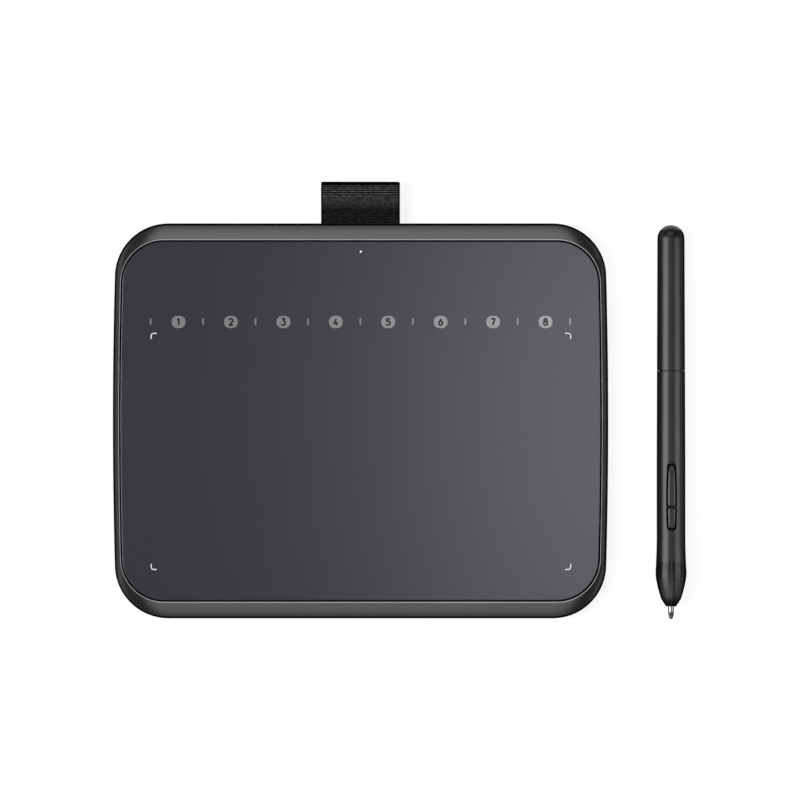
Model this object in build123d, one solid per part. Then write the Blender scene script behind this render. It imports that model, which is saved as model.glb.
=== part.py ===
from build123d import *
import os
from math import asin, atan, cos, degrees, sin, sqrt

# A small pen drawing tablet with its battery-free pen lying beside it.
#
# Millimetres. +Z is up and the desk is Z = 0. +Y points away from the user, to the edge that
# carries the woven pen loop. The origin is the middle of the footprint of tablet, loop and pen.
# The tablet's own parts are drawn about the tablet's centre and the pen's parts along the
# pen's axis, from the tip of the nib at Y = 0. Both groups are put in their places at the end.

# ---- Drawing area printed on the film, and the tablet's margins round it
active_width = 160.0
active_depth = 90.0
margin_side = 14.4
margin_front = 18.55
margin_rear = 41.95  # room for the row of printed keys and the electronics

# ---- Tablet: plan shape
side_radius = 2000.0  # the sides bow outwards on this radius
corner_radius = 20.4
case_inset = 0.3  # the upper case stands this far inside the base all round
band_end = 5.8  # sloping band along the front and rear edges, seen from above
band_side = 2.0  # the same band along the two sides
lip_radius = 16.9  # corner radius where the band reaches the lip
lip_width = 0.45  # flat lip between the band and the recess for the film

# ---- Tablet: heights above the desk
foot_reach = 0.6  # how far the feet stand out of the base
base_floor = 1.2  # thickness of the base
parting_height = 2.2  # where the upper case meets the base
tongue_height = 1.2  # how far the base's rim reaches up inside the case
edge_height = 6.5  # outer edge of the sloping band
lip_height = 9.0
band_bulge = 0.12  # how far the band rounds above its chord, as a share of its rise
band_steps = 5  # sections that the band is lofted through
film_depth = 0.2  # the film lies this far below the lip
film_thickness = 0.5
glue_thickness = 0.1
plate_thickness = 1.2  # the case under the film
base_chamfer = 1.3

# ---- Tablet: walls and fits
wall_side = 1.9
wall_end = 2.3
film_gap = 0.45  # groove between film and lip
tongue_thickness = 1.0
tongue_gap = 0.15

# ---- Status light
light_from_rear = 10.85  # its middle, from the rear edge
light_pipe_radius = 0.35
light_pipe_gap = 0.03
led_size = (1.6, 0.8, 0.6)
led_side_gap = 0.2
led_headroom = 0.1

# ---- Sensor board, shield and what is soldered to the board
board_thickness = 1.0
board_margin_side = 8.0  # beyond the drawing area
board_margin_front = 2.2
board_from_rear = 9.65  # from the tablet's rear edge
board_corner = 3.0
board_boss_gap = 2.0  # the board's corners are cut away this far round the case's bosses
shield_thickness = 0.3
shield_margin = 1.8  # beyond the drawing area
controller_size = (7.0, 7.0, 1.0)
controller_chamfer = 0.5
controller_x = -12.0
scan_chip_size = (9.9, 3.9, 1.4)
scan_chip_pitch = 26.0
crystal_size = (3.2, 2.5, 0.8)
crystal_gap = 2.0

# ---- Screws, bosses and feet
screw_from_side = 20.4
screw_from_end = 11.25
screw_radius = 1.0
screw_head_radius = 1.9
screw_head_height = 1.2
screw_length = 5.0
boss_width = 5.6
boss_foot = 3.8  # height at which the case's bosses meet the base's posts
post_width = 6.6
hole_clearance = 0.2
foot_length = 24.0
foot_width = 9.0
foot_sunk = 0.6  # depth of the recess that takes a foot
foot_gap = 0.15

# ---- Ribs and snaps of the base
rib_thickness = 0.9
rib_pitch = 27.0
snap_length = 10.0
snap_height = 0.5
snap_bite = 0.35
snap_gap = 0.1
snap_x_front = 40.0
snap_x_rear = 60.0
snap_y = 24.0

# ---- Socket for the data cable
usb_x = -46.0  # from the tablet's centre, along the rear edge
usb_width = 8.94
usb_height = 3.26
usb_length = 7.35
usb_wall = 0.28
usb_tongue = (6.7, 4.7, 0.7)
usb_back = 1.6  # moulding behind the tongue
usb_setback = 0.35  # the mouth stands this far inside the rear face
usb_hole_gap = 0.2
rim_notch_gap = 1.5  # the base's rim stops this far beside the socket and the clamp
usb_tab_width = 13.0
usb_tab_gap = 0.25

# ---- Woven pen loop and its clamp
loop_width = 30.0
loop_reach = 15.8  # beyond the rear edge
web_thickness = 0.9
web_ply_gap = 0.1
loop_outer_radius = 4.45
loop_desk_gap = 0.3
loop_flare_radius = 6.0
loop_hold = 6.2  # length of webbing held inside the case
slot_side_gap = 0.5
slot_height_gap = 0.25
clamp_side = 4.5  # the clamp runs this far past the webbing on each side
clamp_thickness = 1.2
clamp_wall_gap = 0.3  # between the clamp and the rear wall
clamp_pin = 2.0  # side of the square pins that the clamp is pushed onto
clamp_pin_gap = 0.03

# ---- Pen: outside, as radius at a distance from the tip of the nib
pen_length = 150.0
pen_gap = 17.8  # between the tablet's side and the pen
pen_lead = 0.2  # the nib stands this far in front of the tablet
nose_start = 4.9
nose_radius = 1.95
cone_start = 7.7
cone_radius = 3.75
cone_middle_radius = 5.13
ridge_at = 17.2
ridge_radius = 5.95
waist_at = 31.6
waist_radius = 5.46
taper_at = 60.0  # the body is straight from the waist to here, then tapers to the tail
waist_sag = 0.12  # hollow of the grip between ridge and waist
tail_radius = 5.18
seam_at = 94.5
seam_chamfer = 0.2
seam_gap = 0.1
pen_wall = 1.05
spigot_length = 7.0
spigot_wall = 0.9
spigot_gap = 0.05
spigot_root = 2.0  # the spigot starts this far in front of the seam
nose_wall = 0.6  # from the start of the cone to the bore behind it

# ---- Pen: nib and what carries it
nib_radius = 1.15
nib_taper = 3.0  # length of the tapered tip
nib_point_radius = 0.8
nib_shank_radius = 0.95
nib_shoulder_at = 7.4
nib_shoulder_length = 0.3
nib_grip = 2.0  # length of the shank that the holder grips
nib_end_gap = 0.1  # the holder's socket is this much deeper
nose_bore_gap = 0.2
core_radius = 2.2
core_bore_gap = 0.25
core_length = 9.2
coil_radius = 2.75
coil_length = 6.0
coil_room_gap = 0.3
coil_end_gap = 0.3  # between the coil and the carrier
holder_radius = 1.5
holder_front_gap = 0.5  # between the ferrite core and the holder
holder_length = 4.6
nib_socket_gap = 0.03
nib_travel = 0.45
nib_stop_gap = 0.5  # free way between the holder and the pressure sensor
nib_pull = 16.0
sensor_radius = 2.6
sensor_length = 4.0
carrier_radius = 3.4
carrier_lap = 1.0  # length of the ferrite core that the carrier holds
carrier_wall = 1.2
carrier_gap = 0.05
tray_room = 3.0  # from the tray's end to where the spigot starts
tray_floor = 0.8
tray_ledge = 0.6  # the board's long edges rest on this much of the tray
pen_board_width = 5.6
pen_board_thickness = 0.8
pen_board_end_gap = 0.6
pen_board_top = 0.2  # above the pen's axis

# ---- Pen: side buttons
button_slot_start = 33.5
button_slot_end = 58.9
button_split = 42.5
button_split_gap = 0.5
slot_front_width = 3.5
slot_middle_width = 3.85
slot_rear_width = 3.0
slot_middle_at = 47.0
slot_front_bow = 0.25
slot_corner = 0.7
button_gap = 0.4
button_proud = 0.35
button_crown_radius = 2.2
button_ramp_length = 2.6  # the rear end of the upper button slopes down into the slot
button_ramp_drop = 0.9
button_flange = 0.9  # flange beyond the button, under the barrel
button_flange_top = 3.45
button_flange_thickness = 0.6
button_stem = (1.6, 1.6)
button_travel = 0.4
button_stem_gap = 0.05
switch_size = (3.4, 3.0, 1.3)
switch_plunger = (1.8, 1.4)
switch_plunger_height = 0.3
pen_chip = (3.0, 5.0, 0.8)
pen_chip_gap = 7.5  # from the end of the button slot to the chip
capacitor = (1.0, 1.6, 0.7)
capacitor_gap = 1.7  # between the chip and the row of capacitors
capacitor_pitch = 3.0

# ---- Cutting shapes
overshoot = 1.0  # how far they run past what they cut

# ---- Levels and places worked out from the sizes above
tablet_width = active_width + 2 * margin_side  # across the middle of the bowed sides
tablet_depth = active_depth + margin_front + margin_rear
active_middle = (margin_front - margin_rear) / 2  # of the drawing area, from the tablet's centre
base_bottom = foot_reach
base_top = base_bottom + base_floor
film_top = lip_height - film_depth
film_bottom = film_top - film_thickness
recess_floor = film_bottom - glue_thickness
plate_bottom = recess_floor - plate_thickness
board_bottom = plate_bottom - board_thickness
shield_bottom = board_bottom - shield_thickness
recess_side = case_inset + band_side + lip_width
recess_end = case_inset + band_end + lip_width
recess_radius = lip_radius - lip_width
cavity_side = case_inset + wall_side
cavity_end = case_inset + wall_end
cavity_radius = corner_radius - cavity_end
rear_face = tablet_depth / 2 - case_inset
rear_cavity = tablet_depth / 2 - cavity_end
light_y = tablet_depth / 2 - light_from_rear
board_front = active_middle - active_depth / 2 - board_margin_front
board_rear = tablet_depth / 2 - board_from_rear
board_width = active_width + 2 * board_margin_side
shield_rear = active_middle + active_depth / 2 + shield_margin
component_line = (shield_rear + board_rear) / 2  # the chips lie along this line
screw_x = tablet_width / 2 - screw_from_side
screw_y = tablet_depth / 2 - screw_from_end
screw_places = [(x, y) for x in (-screw_x, screw_x) for y in (-screw_y, screw_y)]
screw_head_seat = boss_foot - (base_top - base_bottom)
usb_center = board_bottom - usb_height / 2
usb_mouth = rear_face - usb_setback
web_center = usb_center
web_stack = 2 * web_thickness + web_ply_gap
loop_end = tablet_depth / 2 + loop_reach
loop_height = loop_desk_gap + loop_outer_radius
clamp_rear = rear_cavity - clamp_wall_gap
clamp_front = rear_cavity - loop_hold
clamp_middle = (clamp_rear + clamp_front) / 2
clamp_pin_x = loop_width / 2 + clamp_side / 2
dome_at = pen_length - tail_radius
core_start = cone_start + nose_wall
core_end = core_start + core_length
holder_start = core_end + holder_front_gap
nib_length = holder_start + nib_grip
carrier_start = core_end - carrier_lap
coil_start = carrier_start - coil_end_gap - coil_length
sensor_start = holder_start + holder_length + nib_stop_gap
carrier_end = sensor_start + sensor_length
tray_end = seam_at - spigot_root - tray_room
pen_board_start = carrier_end + pen_board_end_gap
pen_board_end = tray_end - carrier_wall - pen_board_end_gap
pen_bore = waist_radius - pen_wall
pen_tilt = atan((ridge_radius - tail_radius) / (dome_at - ridge_at))

tablet_place = Pos(-(pen_gap + 2 * ridge_radius) / 2, (pen_lead - loop_reach) / 2, 0)
pen_place = Location(
    (
        (tablet_width + pen_gap) / 2,
        -(tablet_depth + loop_reach + pen_lead) / 2,
        ridge_radius * cos(pen_tilt) + ridge_at * sin(pen_tilt),
    ),
    (-degrees(pen_tilt), 0, 0),
)


# ---- Shapes that several pieces share
def outline(inset_side, inset_end, radius, height):
    """The tablet's plan shape at a height: straight front and rear, bowed sides, round corners."""
    half_depth = tablet_depth / 2 - inset_end
    half_width = tablet_width / 2 - inset_side
    corner_x = half_width - side_radius + sqrt(side_radius**2 - half_depth**2)
    with BuildSketch(Plane.XY.offset(height)) as plan:
        with BuildLine():
            Line((-corner_x, half_depth), (corner_x, half_depth))
            ThreePointArc((corner_x, half_depth), (half_width, 0), (corner_x, -half_depth))
            Line((corner_x, -half_depth), (-corner_x, -half_depth))
            ThreePointArc((-corner_x, -half_depth), (-half_width, 0), (-corner_x, half_depth))
        make_face()
        fillet(plan.vertices(), radius)
    return plan.sketch


def slab(inset_side, inset_end, radius, low, high):
    """The plan shape as a slab between two heights."""
    return extrude(outline(inset_side, inset_end, radius, low), amount=high - low)


def block(size_x, size_y, low, high, x=0, y=0):
    """A box centred on (x, y), between two heights."""
    return Pos(x, y, (low + high) / 2) * Box(size_x, size_y, high - low)


def post(radius, low, high, x=0, y=0):
    """An upright cylinder between two heights."""
    return Pos(x, y, (low + high) / 2) * Cylinder(radius, high - low)


def bar(radius, start, end):
    """A cylinder along the pen's axis, between two distances from the tip."""
    return extrude(Plane.XZ.offset(-start) * Circle(radius), amount=-(end - start))


def usb_outline(growth):
    """The socket's mouth, drawn at the rear face and looking along -Y, larger all round by growth."""
    mouth = SlotOverall(usb_width + 2 * growth, usb_height + 2 * growth)
    return Plane.XZ.offset(-usb_mouth) * Pos(usb_x, usb_center) * mouth


def snap_ridges(growth):
    """The snap ridges on the base's rim, or with growth the pockets that they click into."""
    middle = parting_height + tongue_height / 2
    low, high = middle - snap_height / 2 - growth, middle + snap_height / 2 + growth
    reach_x = tablet_width / 2 - cavity_side
    reach_y = tablet_depth / 2 - cavity_end
    depth = 2 * snap_bite + tongue_gap + growth
    ridges = Part()
    for side in (-1, 1):
        for along in (-snap_y, snap_y):
            ridges += block(depth, snap_length + 2 * growth, low, high, side * reach_x, along)
    for x, y in ((snap_x_front, -reach_y), (snap_x_rear, reach_y)):
        for side in (-1, 1):
            ridges += block(snap_length + 2 * growth, depth, low, high, side * x, y)
    return ridges


# ---- Tablet
def make_top_case():
    """Upper case: skirt, rounded sloping band, lip, recessed plate, bosses and the two rear openings."""
    case = slab(case_inset, case_inset, corner_radius - case_inset, parting_height, edge_height)
    case += loft([band_section(step / (band_steps - 1)) for step in range(band_steps)], ruled=True)
    case -= slab(recess_side, recess_end, recess_radius, recess_floor, lip_height + overshoot)
    case -= slab(cavity_side, cavity_end, cavity_radius, parting_height - overshoot, plate_bottom)
    for x, y in screw_places:
        case += block(boss_width, boss_width, boss_foot, plate_bottom, x, y)
        case -= post(screw_radius, boss_foot, recess_floor - plate_thickness / 2, x, y)
    case += clamp_seat()
    case -= extrude(usb_outline(usb_hole_gap), amount=usb_length, both=True)
    case -= block(
        loop_width + 2 * slot_side_gap,
        2 * wall_end + clamp_wall_gap,
        web_center - web_stack / 2 - slot_height_gap,
        web_center + web_stack / 2 + slot_height_gap,
        y=rear_face,
    )
    width, depth, height = led_size
    led_top = plate_bottom + height + led_headroom
    pocket = (width + 2 * led_side_gap, depth + 2 * led_side_gap)
    case -= block(*pocket, plate_bottom, led_top, y=light_y)
    case -= post(light_pipe_radius, led_top, lip_height, y=light_y)
    case -= snap_ridges(snap_gap)
    return case


def band_section(share):
    """Outline of the sloping band, from the skirt's edge at share 0 to the lip at share 1."""
    bulge = 4 * band_bulge * share * (1 - share)
    return outline(
        case_inset + share * band_side,
        case_inset + share * band_end,
        corner_radius - case_inset + share * (lip_radius - corner_radius + case_inset),
        edge_height + (lip_height - edge_height) * (share + bulge),
    )


def clamp_seat():
    """Pad under the case's plate that the webbing is clamped against, with two shouldered pins."""
    depth = clamp_rear - clamp_front
    web_top = web_center + web_stack / 2
    web_bottom = web_center - web_stack / 2
    seat = block(loop_width + 2 * clamp_side, depth, web_top, plate_bottom, y=clamp_middle)
    for x in (-clamp_pin_x, clamp_pin_x):
        shoulder = clamp_side - 2 * slot_side_gap
        seat += block(shoulder, depth, web_bottom, web_top, x, clamp_middle)
        seat += block(clamp_pin, clamp_pin, web_bottom - clamp_thickness, web_top, x, clamp_middle)
    return seat


def make_work_surface():
    """Matte film that the pen draws on, with the hole for the status light."""
    film = slab(
        recess_side + film_gap, recess_end + film_gap, recess_radius - film_gap, film_bottom, film_top
    )
    return film - post(light_pipe_radius, film_bottom, film_top, y=light_y)


def make_film_glue():
    """Double-sided sheet under the film, a little smaller than it."""
    inset = 2 * film_gap
    glue = slab(
        recess_side + inset, recess_end + inset, recess_radius - inset, recess_floor, film_bottom
    )
    window = 4 * light_pipe_radius
    return glue - block(window, window, recess_floor, film_bottom, y=light_y)


def make_bottom_cover():
    """Base: floor, rounded lower edge, rim with snaps, screw posts, foot recesses and ribs."""
    cover = slab(0, 0, corner_radius, base_bottom, parting_height)
    cover = chamfer(cover.faces().sort_by(Axis.Z)[0].edges(), base_chamfer)
    rim_side = cavity_side + tongue_gap
    rim_end = cavity_end + tongue_gap
    rim_radius = cavity_radius - tongue_gap
    rim_top = parting_height + tongue_height
    cover += slab(rim_side, rim_end, rim_radius, base_top, rim_top)
    cover -= slab(
        rim_side + tongue_thickness,
        rim_end + tongue_thickness,
        rim_radius - tongue_thickness,
        base_top,
        rim_top + overshoot,
    )
    cover += snap_ridges(0) & slab(
        cavity_side - snap_bite, cavity_end - snap_bite, cavity_radius + snap_bite, base_top, rim_top
    )
    cover += rib_field()
    for x, y in screw_places:
        cover += block(post_width, post_width, base_top, boss_foot, x, y)
        cover -= post(screw_radius + hole_clearance, base_bottom, boss_foot, x, y)
        cover -= post(screw_head_radius + hole_clearance, base_bottom, screw_head_seat, x, y)
        cover -= foot_recess(x, y)
    # The rim is notched where the socket and the clamped webbing pass over it.
    notch_depth = tongue_thickness + 2 * tongue_gap
    rim_y = rear_cavity - tongue_gap - tongue_thickness / 2
    for width, x in ((usb_width, usb_x), (loop_width + 2 * clamp_side, 0)):
        notch_width = width + 2 * rim_notch_gap
        cover -= block(notch_width, notch_depth, base_top, rim_top + overshoot, x, rim_y)
    return cover


def rib_field():
    """Upright ribs under the drawing area that hold the shield and board up against the case."""
    bays_x = int(active_width // rib_pitch)
    bays_y = int(active_depth // rib_pitch)
    length_x = bays_x * rib_pitch + rib_thickness
    length_y = bays_y * rib_pitch + rib_thickness
    ribs = Part()
    for column in range(bays_x + 1):
        x = (column - bays_x / 2) * rib_pitch
        ribs += block(rib_thickness, length_y, base_top, shield_bottom, x, active_middle)
    for row in range(bays_y + 1):
        y = (row - bays_y / 2) * rib_pitch + active_middle
        ribs += block(length_x, rib_thickness, base_top, shield_bottom, 0, y)
    return ribs


def foot_recess(x, y):
    plan = SlotOverall(foot_length + 2 * foot_gap, foot_width + 2 * foot_gap)
    return extrude(Pos(x, y, base_bottom) * plan, amount=foot_sunk)


def make_foot(x, y):
    """Rubber foot, stuck into its recess over a case screw."""
    return extrude(Pos(x, y) * SlotOverall(foot_length, foot_width), amount=foot_reach + foot_sunk)


def make_case_screws():
    """Screws from the base into the case's bosses, their heads hidden by the feet."""
    screws = []
    for x, y in screw_places:
        head = post(screw_head_radius, screw_head_seat - screw_head_height, screw_head_seat, x, y)
        screws.append(head + post(screw_radius, screw_head_seat, screw_head_seat + screw_length, x, y))
    return Compound(screws)


def make_sensor_board():
    """Board with the sensing grid, its corners cut clear of the bosses, with a tab for the socket."""
    depth = board_rear - board_front
    middle = (board_rear + board_front) / 2
    plan = Pos(0, middle) * RectangleRounded(board_width, depth, board_corner)
    clear = boss_width / 2 + board_boss_gap
    corner = Rectangle(2 * (screw_from_side + clear), 2 * (screw_from_end + clear))
    for side in (-1, 1):
        for end in (-1, 1):
            plan -= Pos(side * tablet_width / 2, end * tablet_depth / 2) * corner
    tab_rear = rear_cavity - usb_tab_gap
    tab = Rectangle(usb_tab_width, 2 * (tab_rear - board_rear))
    plan += Pos(usb_x, board_rear) * tab
    return extrude(Pos(0, 0, board_bottom) * plan, amount=board_thickness)


def make_shield_sheet():
    """Thin magnetic sheet behind the sensing grid."""
    return block(
        active_width + 2 * shield_margin,
        active_depth + 2 * shield_margin,
        shield_bottom,
        board_bottom,
        y=active_middle,
    )


def on_board(size, x, y):
    """A component on the board's underside."""
    return block(size[0], size[1], board_bottom - size[2], board_bottom, x, y)


def make_controller_chip():
    chip = on_board(controller_size, controller_x, component_line)
    return chamfer(chip.edges().filter_by(Axis.Z), controller_chamfer)


def make_scan_chips():
    """Three analogue switches that select the sensing loops, on both sides of the controller."""
    places = [scan_chip_pitch * step for step in (-2, 1, 2)]
    return Compound([on_board(scan_chip_size, x, component_line) for x in places])


def make_crystal():
    x = controller_x + (controller_size[0] + crystal_size[0]) / 2 + crystal_gap
    return on_board(crystal_size, x, component_line)


def make_status_led():
    width, depth, height = led_size
    return block(width, depth, plate_bottom, plate_bottom + height, y=light_y)


def make_light_pipe():
    """Clear pin that brings the status light up to the film."""
    low = plate_bottom + led_size[2] + led_headroom
    return post(light_pipe_radius - light_pipe_gap, low, film_top, y=light_y)


def make_usb_shell():
    """Steel shell of the socket, open at the rear."""
    shell = extrude(usb_outline(0), amount=usb_length)
    shell -= extrude(usb_outline(-usb_wall), amount=usb_length - usb_wall)
    return shell


def make_usb_tongue():
    """Plastic tongue and the block that it grows from, inside the shell."""
    back = usb_mouth - usb_length + usb_wall
    rear_block = Plane.XZ.offset(-back) * Pos(usb_x, usb_center) * SlotOverall(
        usb_width - 2 * usb_wall, usb_height - 2 * usb_wall
    )
    moulding = extrude(rear_block, amount=-usb_back)
    width, length, thickness = usb_tongue
    moulding += block(
        width,
        length,
        usb_center - thickness / 2,
        usb_center + thickness / 2,
        usb_x,
        back + usb_back + length / 2,
    )
    return moulding


def touching_point(start, centre, radius, side):
    """Where a line from start touches a circle: on its upper side for 1, its lower side for -1."""
    reach = Vector(*centre) - Vector(*start)
    turn = degrees(asin(radius / reach.length)) * side
    length = sqrt(reach.length**2 - radius**2)
    return Vector(*start) + reach.normalized().rotate(Axis.Z, turn) * length


def loop_path():
    """Middle line of the webbing: in through the slot, round the loop and back, as (Y, Z)."""
    ply = (web_thickness + web_ply_gap) / 2
    radius = loop_outer_radius - web_thickness / 2
    centre = (loop_end - loop_outer_radius, loop_height)
    halves = []
    for side in (1, -1):
        height = web_center + side * ply
        mouth = (rear_face, height)
        touch = touching_point(mouth, centre, radius, side)
        halves.append([(clamp_front, height), mouth, (touch.X, touch.Y)])
    upper, lower = halves
    with BuildLine(Plane.YZ) as path:
        FilletPolyline(*upper, radius=loop_flare_radius)
        ThreePointArc(upper[-1], (centre[0] + radius, centre[1]), lower[-1])
        FilletPolyline(*reversed(lower), radius=loop_flare_radius)
    return path.wires()[0]


def make_pen_loop():
    """Loop of ribbed webbing that holds the pen, both ends clamped in the case."""
    path = loop_path()
    profile = Plane(path @ 0, x_dir=(1, 0, 0), z_dir=path % 0) * Rectangle(loop_width, web_thickness)
    return sweep(profile, path)


def make_loop_clamp():
    """Bar that is pushed onto the case's pins, over the two ends of the webbing."""
    web_bottom = web_center - web_stack / 2
    low = web_bottom - clamp_thickness
    width = loop_width + 2 * clamp_side
    clamp = block(width, clamp_rear - clamp_front, low, web_bottom, y=clamp_middle)
    hole = clamp_pin + 2 * clamp_pin_gap
    for x in (-clamp_pin_x, clamp_pin_x):
        clamp -= block(hole, hole, low, web_bottom, x, clamp_middle)
    return clamp


# ---- Pen
def body_radius(y):
    """Radius of the pen's tapered body at a distance from the tip."""
    return waist_radius + (tail_radius - waist_radius) * (y - taper_at) / (dome_at - taper_at)


def body_line(start, end):
    """Outer line of the tapered body between two distances from the tip."""
    return Spline(*[(body_radius(y), y) for y in (start, (start + end) / 2, end)])


def turned(lines):
    """Solid turned about the pen's axis from an outline whose last points lie on the axis."""
    return revolve(make_face(Wire(lines)), Axis.Y)


def pen_cavity():
    """Room inside the front barrel: a narrow bore round the coil, then a wide one."""
    coil_room = bar(coil_radius + coil_room_gap, core_start, carrier_start)
    return coil_room + bar(pen_bore, carrier_start, seam_at - spigot_root)


def button_plan(inset):
    """Plan of the slot for the two buttons, drawn in the XY plane; with inset, of the buttons."""
    front, rear = button_slot_start + inset, button_slot_end - inset
    half_front = slot_front_width / 2 - inset
    half_middle = slot_middle_width / 2 - inset
    half_rear = slot_rear_width / 2 - inset
    with BuildSketch() as plan:
        with BuildLine():
            ThreePointArc((-half_front, front), (0, front - slot_front_bow), (half_front, front))
            ThreePointArc((half_front, front), (half_middle, slot_middle_at), (half_rear, rear))
            Line((half_rear, rear), (-half_rear, rear))
            ThreePointArc((-half_rear, rear), (-half_middle, slot_middle_at), (-half_front, front))
        make_face()
        fillet(plan.vertices(), slot_corner - inset / 2)
    return plan.sketch


def make_pen_barrel():
    """Front barrel: nose, cone, grip, button slot and the spigot that takes the tail."""
    grip_middle = (ridge_at + waist_at) / 2
    grip_radius = (ridge_radius + waist_radius) / 2 - waist_sag
    rim_radius = body_radius(seam_at) - seam_chamfer
    nose, cone_foot = (nose_radius, nose_start), (cone_radius, cone_start)
    cone_middle = (cone_middle_radius, (cone_start + ridge_at) / 2)
    ridge, waist = (ridge_radius, ridge_at), (waist_radius, waist_at)
    barrel = turned(
        [
            Line(nose, cone_foot),
            ThreePointArc(cone_foot, cone_middle, ridge),
            ThreePointArc(ridge, (grip_radius, grip_middle), waist),
            Line(waist, (waist_radius, taper_at)),
            body_line(taper_at, seam_at - seam_chamfer),
            Line((body_radius(seam_at - seam_chamfer), seam_at - seam_chamfer), (rim_radius, seam_at)),
            Line((rim_radius, seam_at), (0, seam_at)),
            Line((0, seam_at), (0, nose_start)),
            Line((0, nose_start), nose),
        ]
    )
    barrel -= pen_cavity()
    barrel += bar(spigot_outer(), seam_at - spigot_root, seam_at + spigot_length)
    barrel -= bar(spigot_outer() - spigot_wall, seam_at - spigot_root, seam_at + spigot_length)
    barrel -= bar(nib_radius + nose_bore_gap, 0, core_start)
    barrel -= extrude(button_plan(0), amount=ridge_radius + overshoot)
    return barrel


def spigot_outer():
    return body_radius(seam_at) - pen_wall - spigot_gap


def make_pen_tail():
    """Rear barrel with its domed end, pushed over the spigot."""
    start = seam_at + seam_gap
    rim = (body_radius(start) - seam_chamfer, start)
    tail = turned(
        [
            Line(rim, (body_radius(start + seam_chamfer), start + seam_chamfer)),
            body_line(start + seam_chamfer, dome_at),
            RadiusArc((tail_radius, dome_at), (0, pen_length), -tail_radius),
            Line((0, pen_length), (0, start)),
            Line((0, start), rim),
        ]
    )
    return tail - bar(body_radius(seam_at) - pen_wall, seam_at, dome_at - pen_wall)


def make_nib():
    """Plastic nib with a rounded tip and a thinner shank."""
    slope = atan((nib_radius - nib_point_radius) / (nib_taper - nib_point_radius))
    point = (nib_point_radius * cos(slope), nib_point_radius * (1 - sin(slope)))
    shank_at = nib_shoulder_at + nib_shoulder_length
    lines = [
        RadiusArc((0, 0), point, -nib_point_radius),
        Line(point, (nib_radius, nib_taper)),
        Line((nib_radius, nib_taper), (nib_radius, nib_shoulder_at)),
        Line((nib_radius, nib_shoulder_at), (nib_shank_radius, shank_at)),
        Line((nib_shank_radius, shank_at), (nib_shank_radius, nib_length)),
        Line((nib_shank_radius, nib_length), (0, nib_length)),
        Line((0, nib_length), (0, 0)),
    ]
    return turned(lines)


def make_ferrite_core():
    """Hollow ferrite rod that the nib runs through."""
    return bar(core_radius, core_start, core_end) - bar(nib_radius + core_bore_gap, core_start, core_end)


def make_coil():
    """Copper winding on the ferrite."""
    winding = bar(coil_radius, coil_start, coil_start + coil_length)
    return winding - bar(core_radius, coil_start, coil_start + coil_length)


def make_nib_holder():
    """Cup that grips the nib's shank and pushes on the pressure sensor."""
    holder = bar(holder_radius, holder_start, holder_start + holder_length)
    return holder - bar(nib_shank_radius + nib_socket_gap, holder_start, nib_length + nib_end_gap)


def make_pressure_sensor():
    return bar(sensor_radius, sensor_start, sensor_start + sensor_length)


def make_core_carrier():
    """Plastic carrier: a sleeve round core, holder and sensor, then a tray for the board."""
    sleeve = bar(carrier_radius, carrier_start, carrier_end)
    sleeve -= bar(core_radius, carrier_start, core_end)
    sleeve -= bar(holder_radius + carrier_gap, core_end, sensor_start)
    sleeve -= bar(sensor_radius, sensor_start, carrier_end)
    tray_radius = pen_bore - carrier_gap
    tray = bar(tray_radius, carrier_end, tray_end)
    board_low = pen_board_top - pen_board_thickness
    tray -= block(2 * pen_bore, 2 * tray_end, board_low, pen_bore)
    tray -= block(
        pen_board_width - 2 * tray_ledge,
        tray_end - carrier_end - 2 * carrier_wall,
        tray_floor - tray_radius,
        pen_bore,
        y=(tray_end + carrier_end) / 2,
    )
    return sleeve + tray


def make_pen_board():
    return block(
        pen_board_width,
        pen_board_end - pen_board_start,
        pen_board_top - pen_board_thickness,
        pen_board_top,
        y=(pen_board_start + pen_board_end) / 2,
    )


def button_middles():
    """Where the two buttons press, along the pen."""
    lower = (button_slot_start + button_split) / 2
    upper = (button_split + button_slot_end - button_ramp_length) / 2
    return lower, upper


def make_side_switches():
    """Two click switches under the buttons."""
    width, length, height = switch_size
    switches = []
    for y in button_middles():
        switch = block(width, length, pen_board_top, pen_board_top + height, y=y)
        top = pen_board_top + height
        switch += block(*switch_plunger, top, top + switch_plunger_height, y=y)
        switches.append(switch)
    return Compound(switches)


def on_pen_board(size, y):
    """A component on the pen's board."""
    width, length, height = size
    return block(width, length, pen_board_top, pen_board_top + height, y=y)


def make_pen_chip():
    return on_pen_board(pen_chip, button_slot_end + pen_chip_gap + pen_chip[1] / 2)


def make_pen_capacitors():
    """Row of tuning capacitors from the chip to the end of the board."""
    first = button_slot_end + pen_chip_gap + pen_chip[1] + capacitor_gap + capacitor[1] / 2
    room = pen_board_end - capacitor[1] / 2 - first
    count = 1 + int(room // capacitor_pitch)
    return Compound([on_pen_board(capacitor, first + step * capacitor_pitch) for step in range(count)])


def make_button(front, rear, press_at):
    """One button cap: crowned top, flange under the barrel and a stem over its switch."""
    top = waist_radius + button_proud
    crown = Pos(0, 0, top - button_crown_radius) * bar(
        button_crown_radius, button_slot_start - overshoot, button_slot_end + overshoot
    )
    keep = block(2 * ridge_radius, rear - front, 0, ridge_radius + overshoot, y=(front + rear) / 2)
    plan = Pos(0, 0, button_flange_top) * button_plan(button_gap)
    cap = extrude(plan, amount=ridge_radius) & crown & keep
    flange_low = button_flange_top - button_flange_thickness
    flange_plan = Pos(0, 0, flange_low) * button_plan(button_gap - button_flange)
    cap += extrude(flange_plan, amount=button_flange_thickness) & keep
    plunger_top = pen_board_top + switch_size[2] + switch_plunger_height
    stem_low = plunger_top + button_travel + button_stem_gap
    cap += block(*button_stem, stem_low, flange_low, y=press_at)
    return cap


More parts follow.
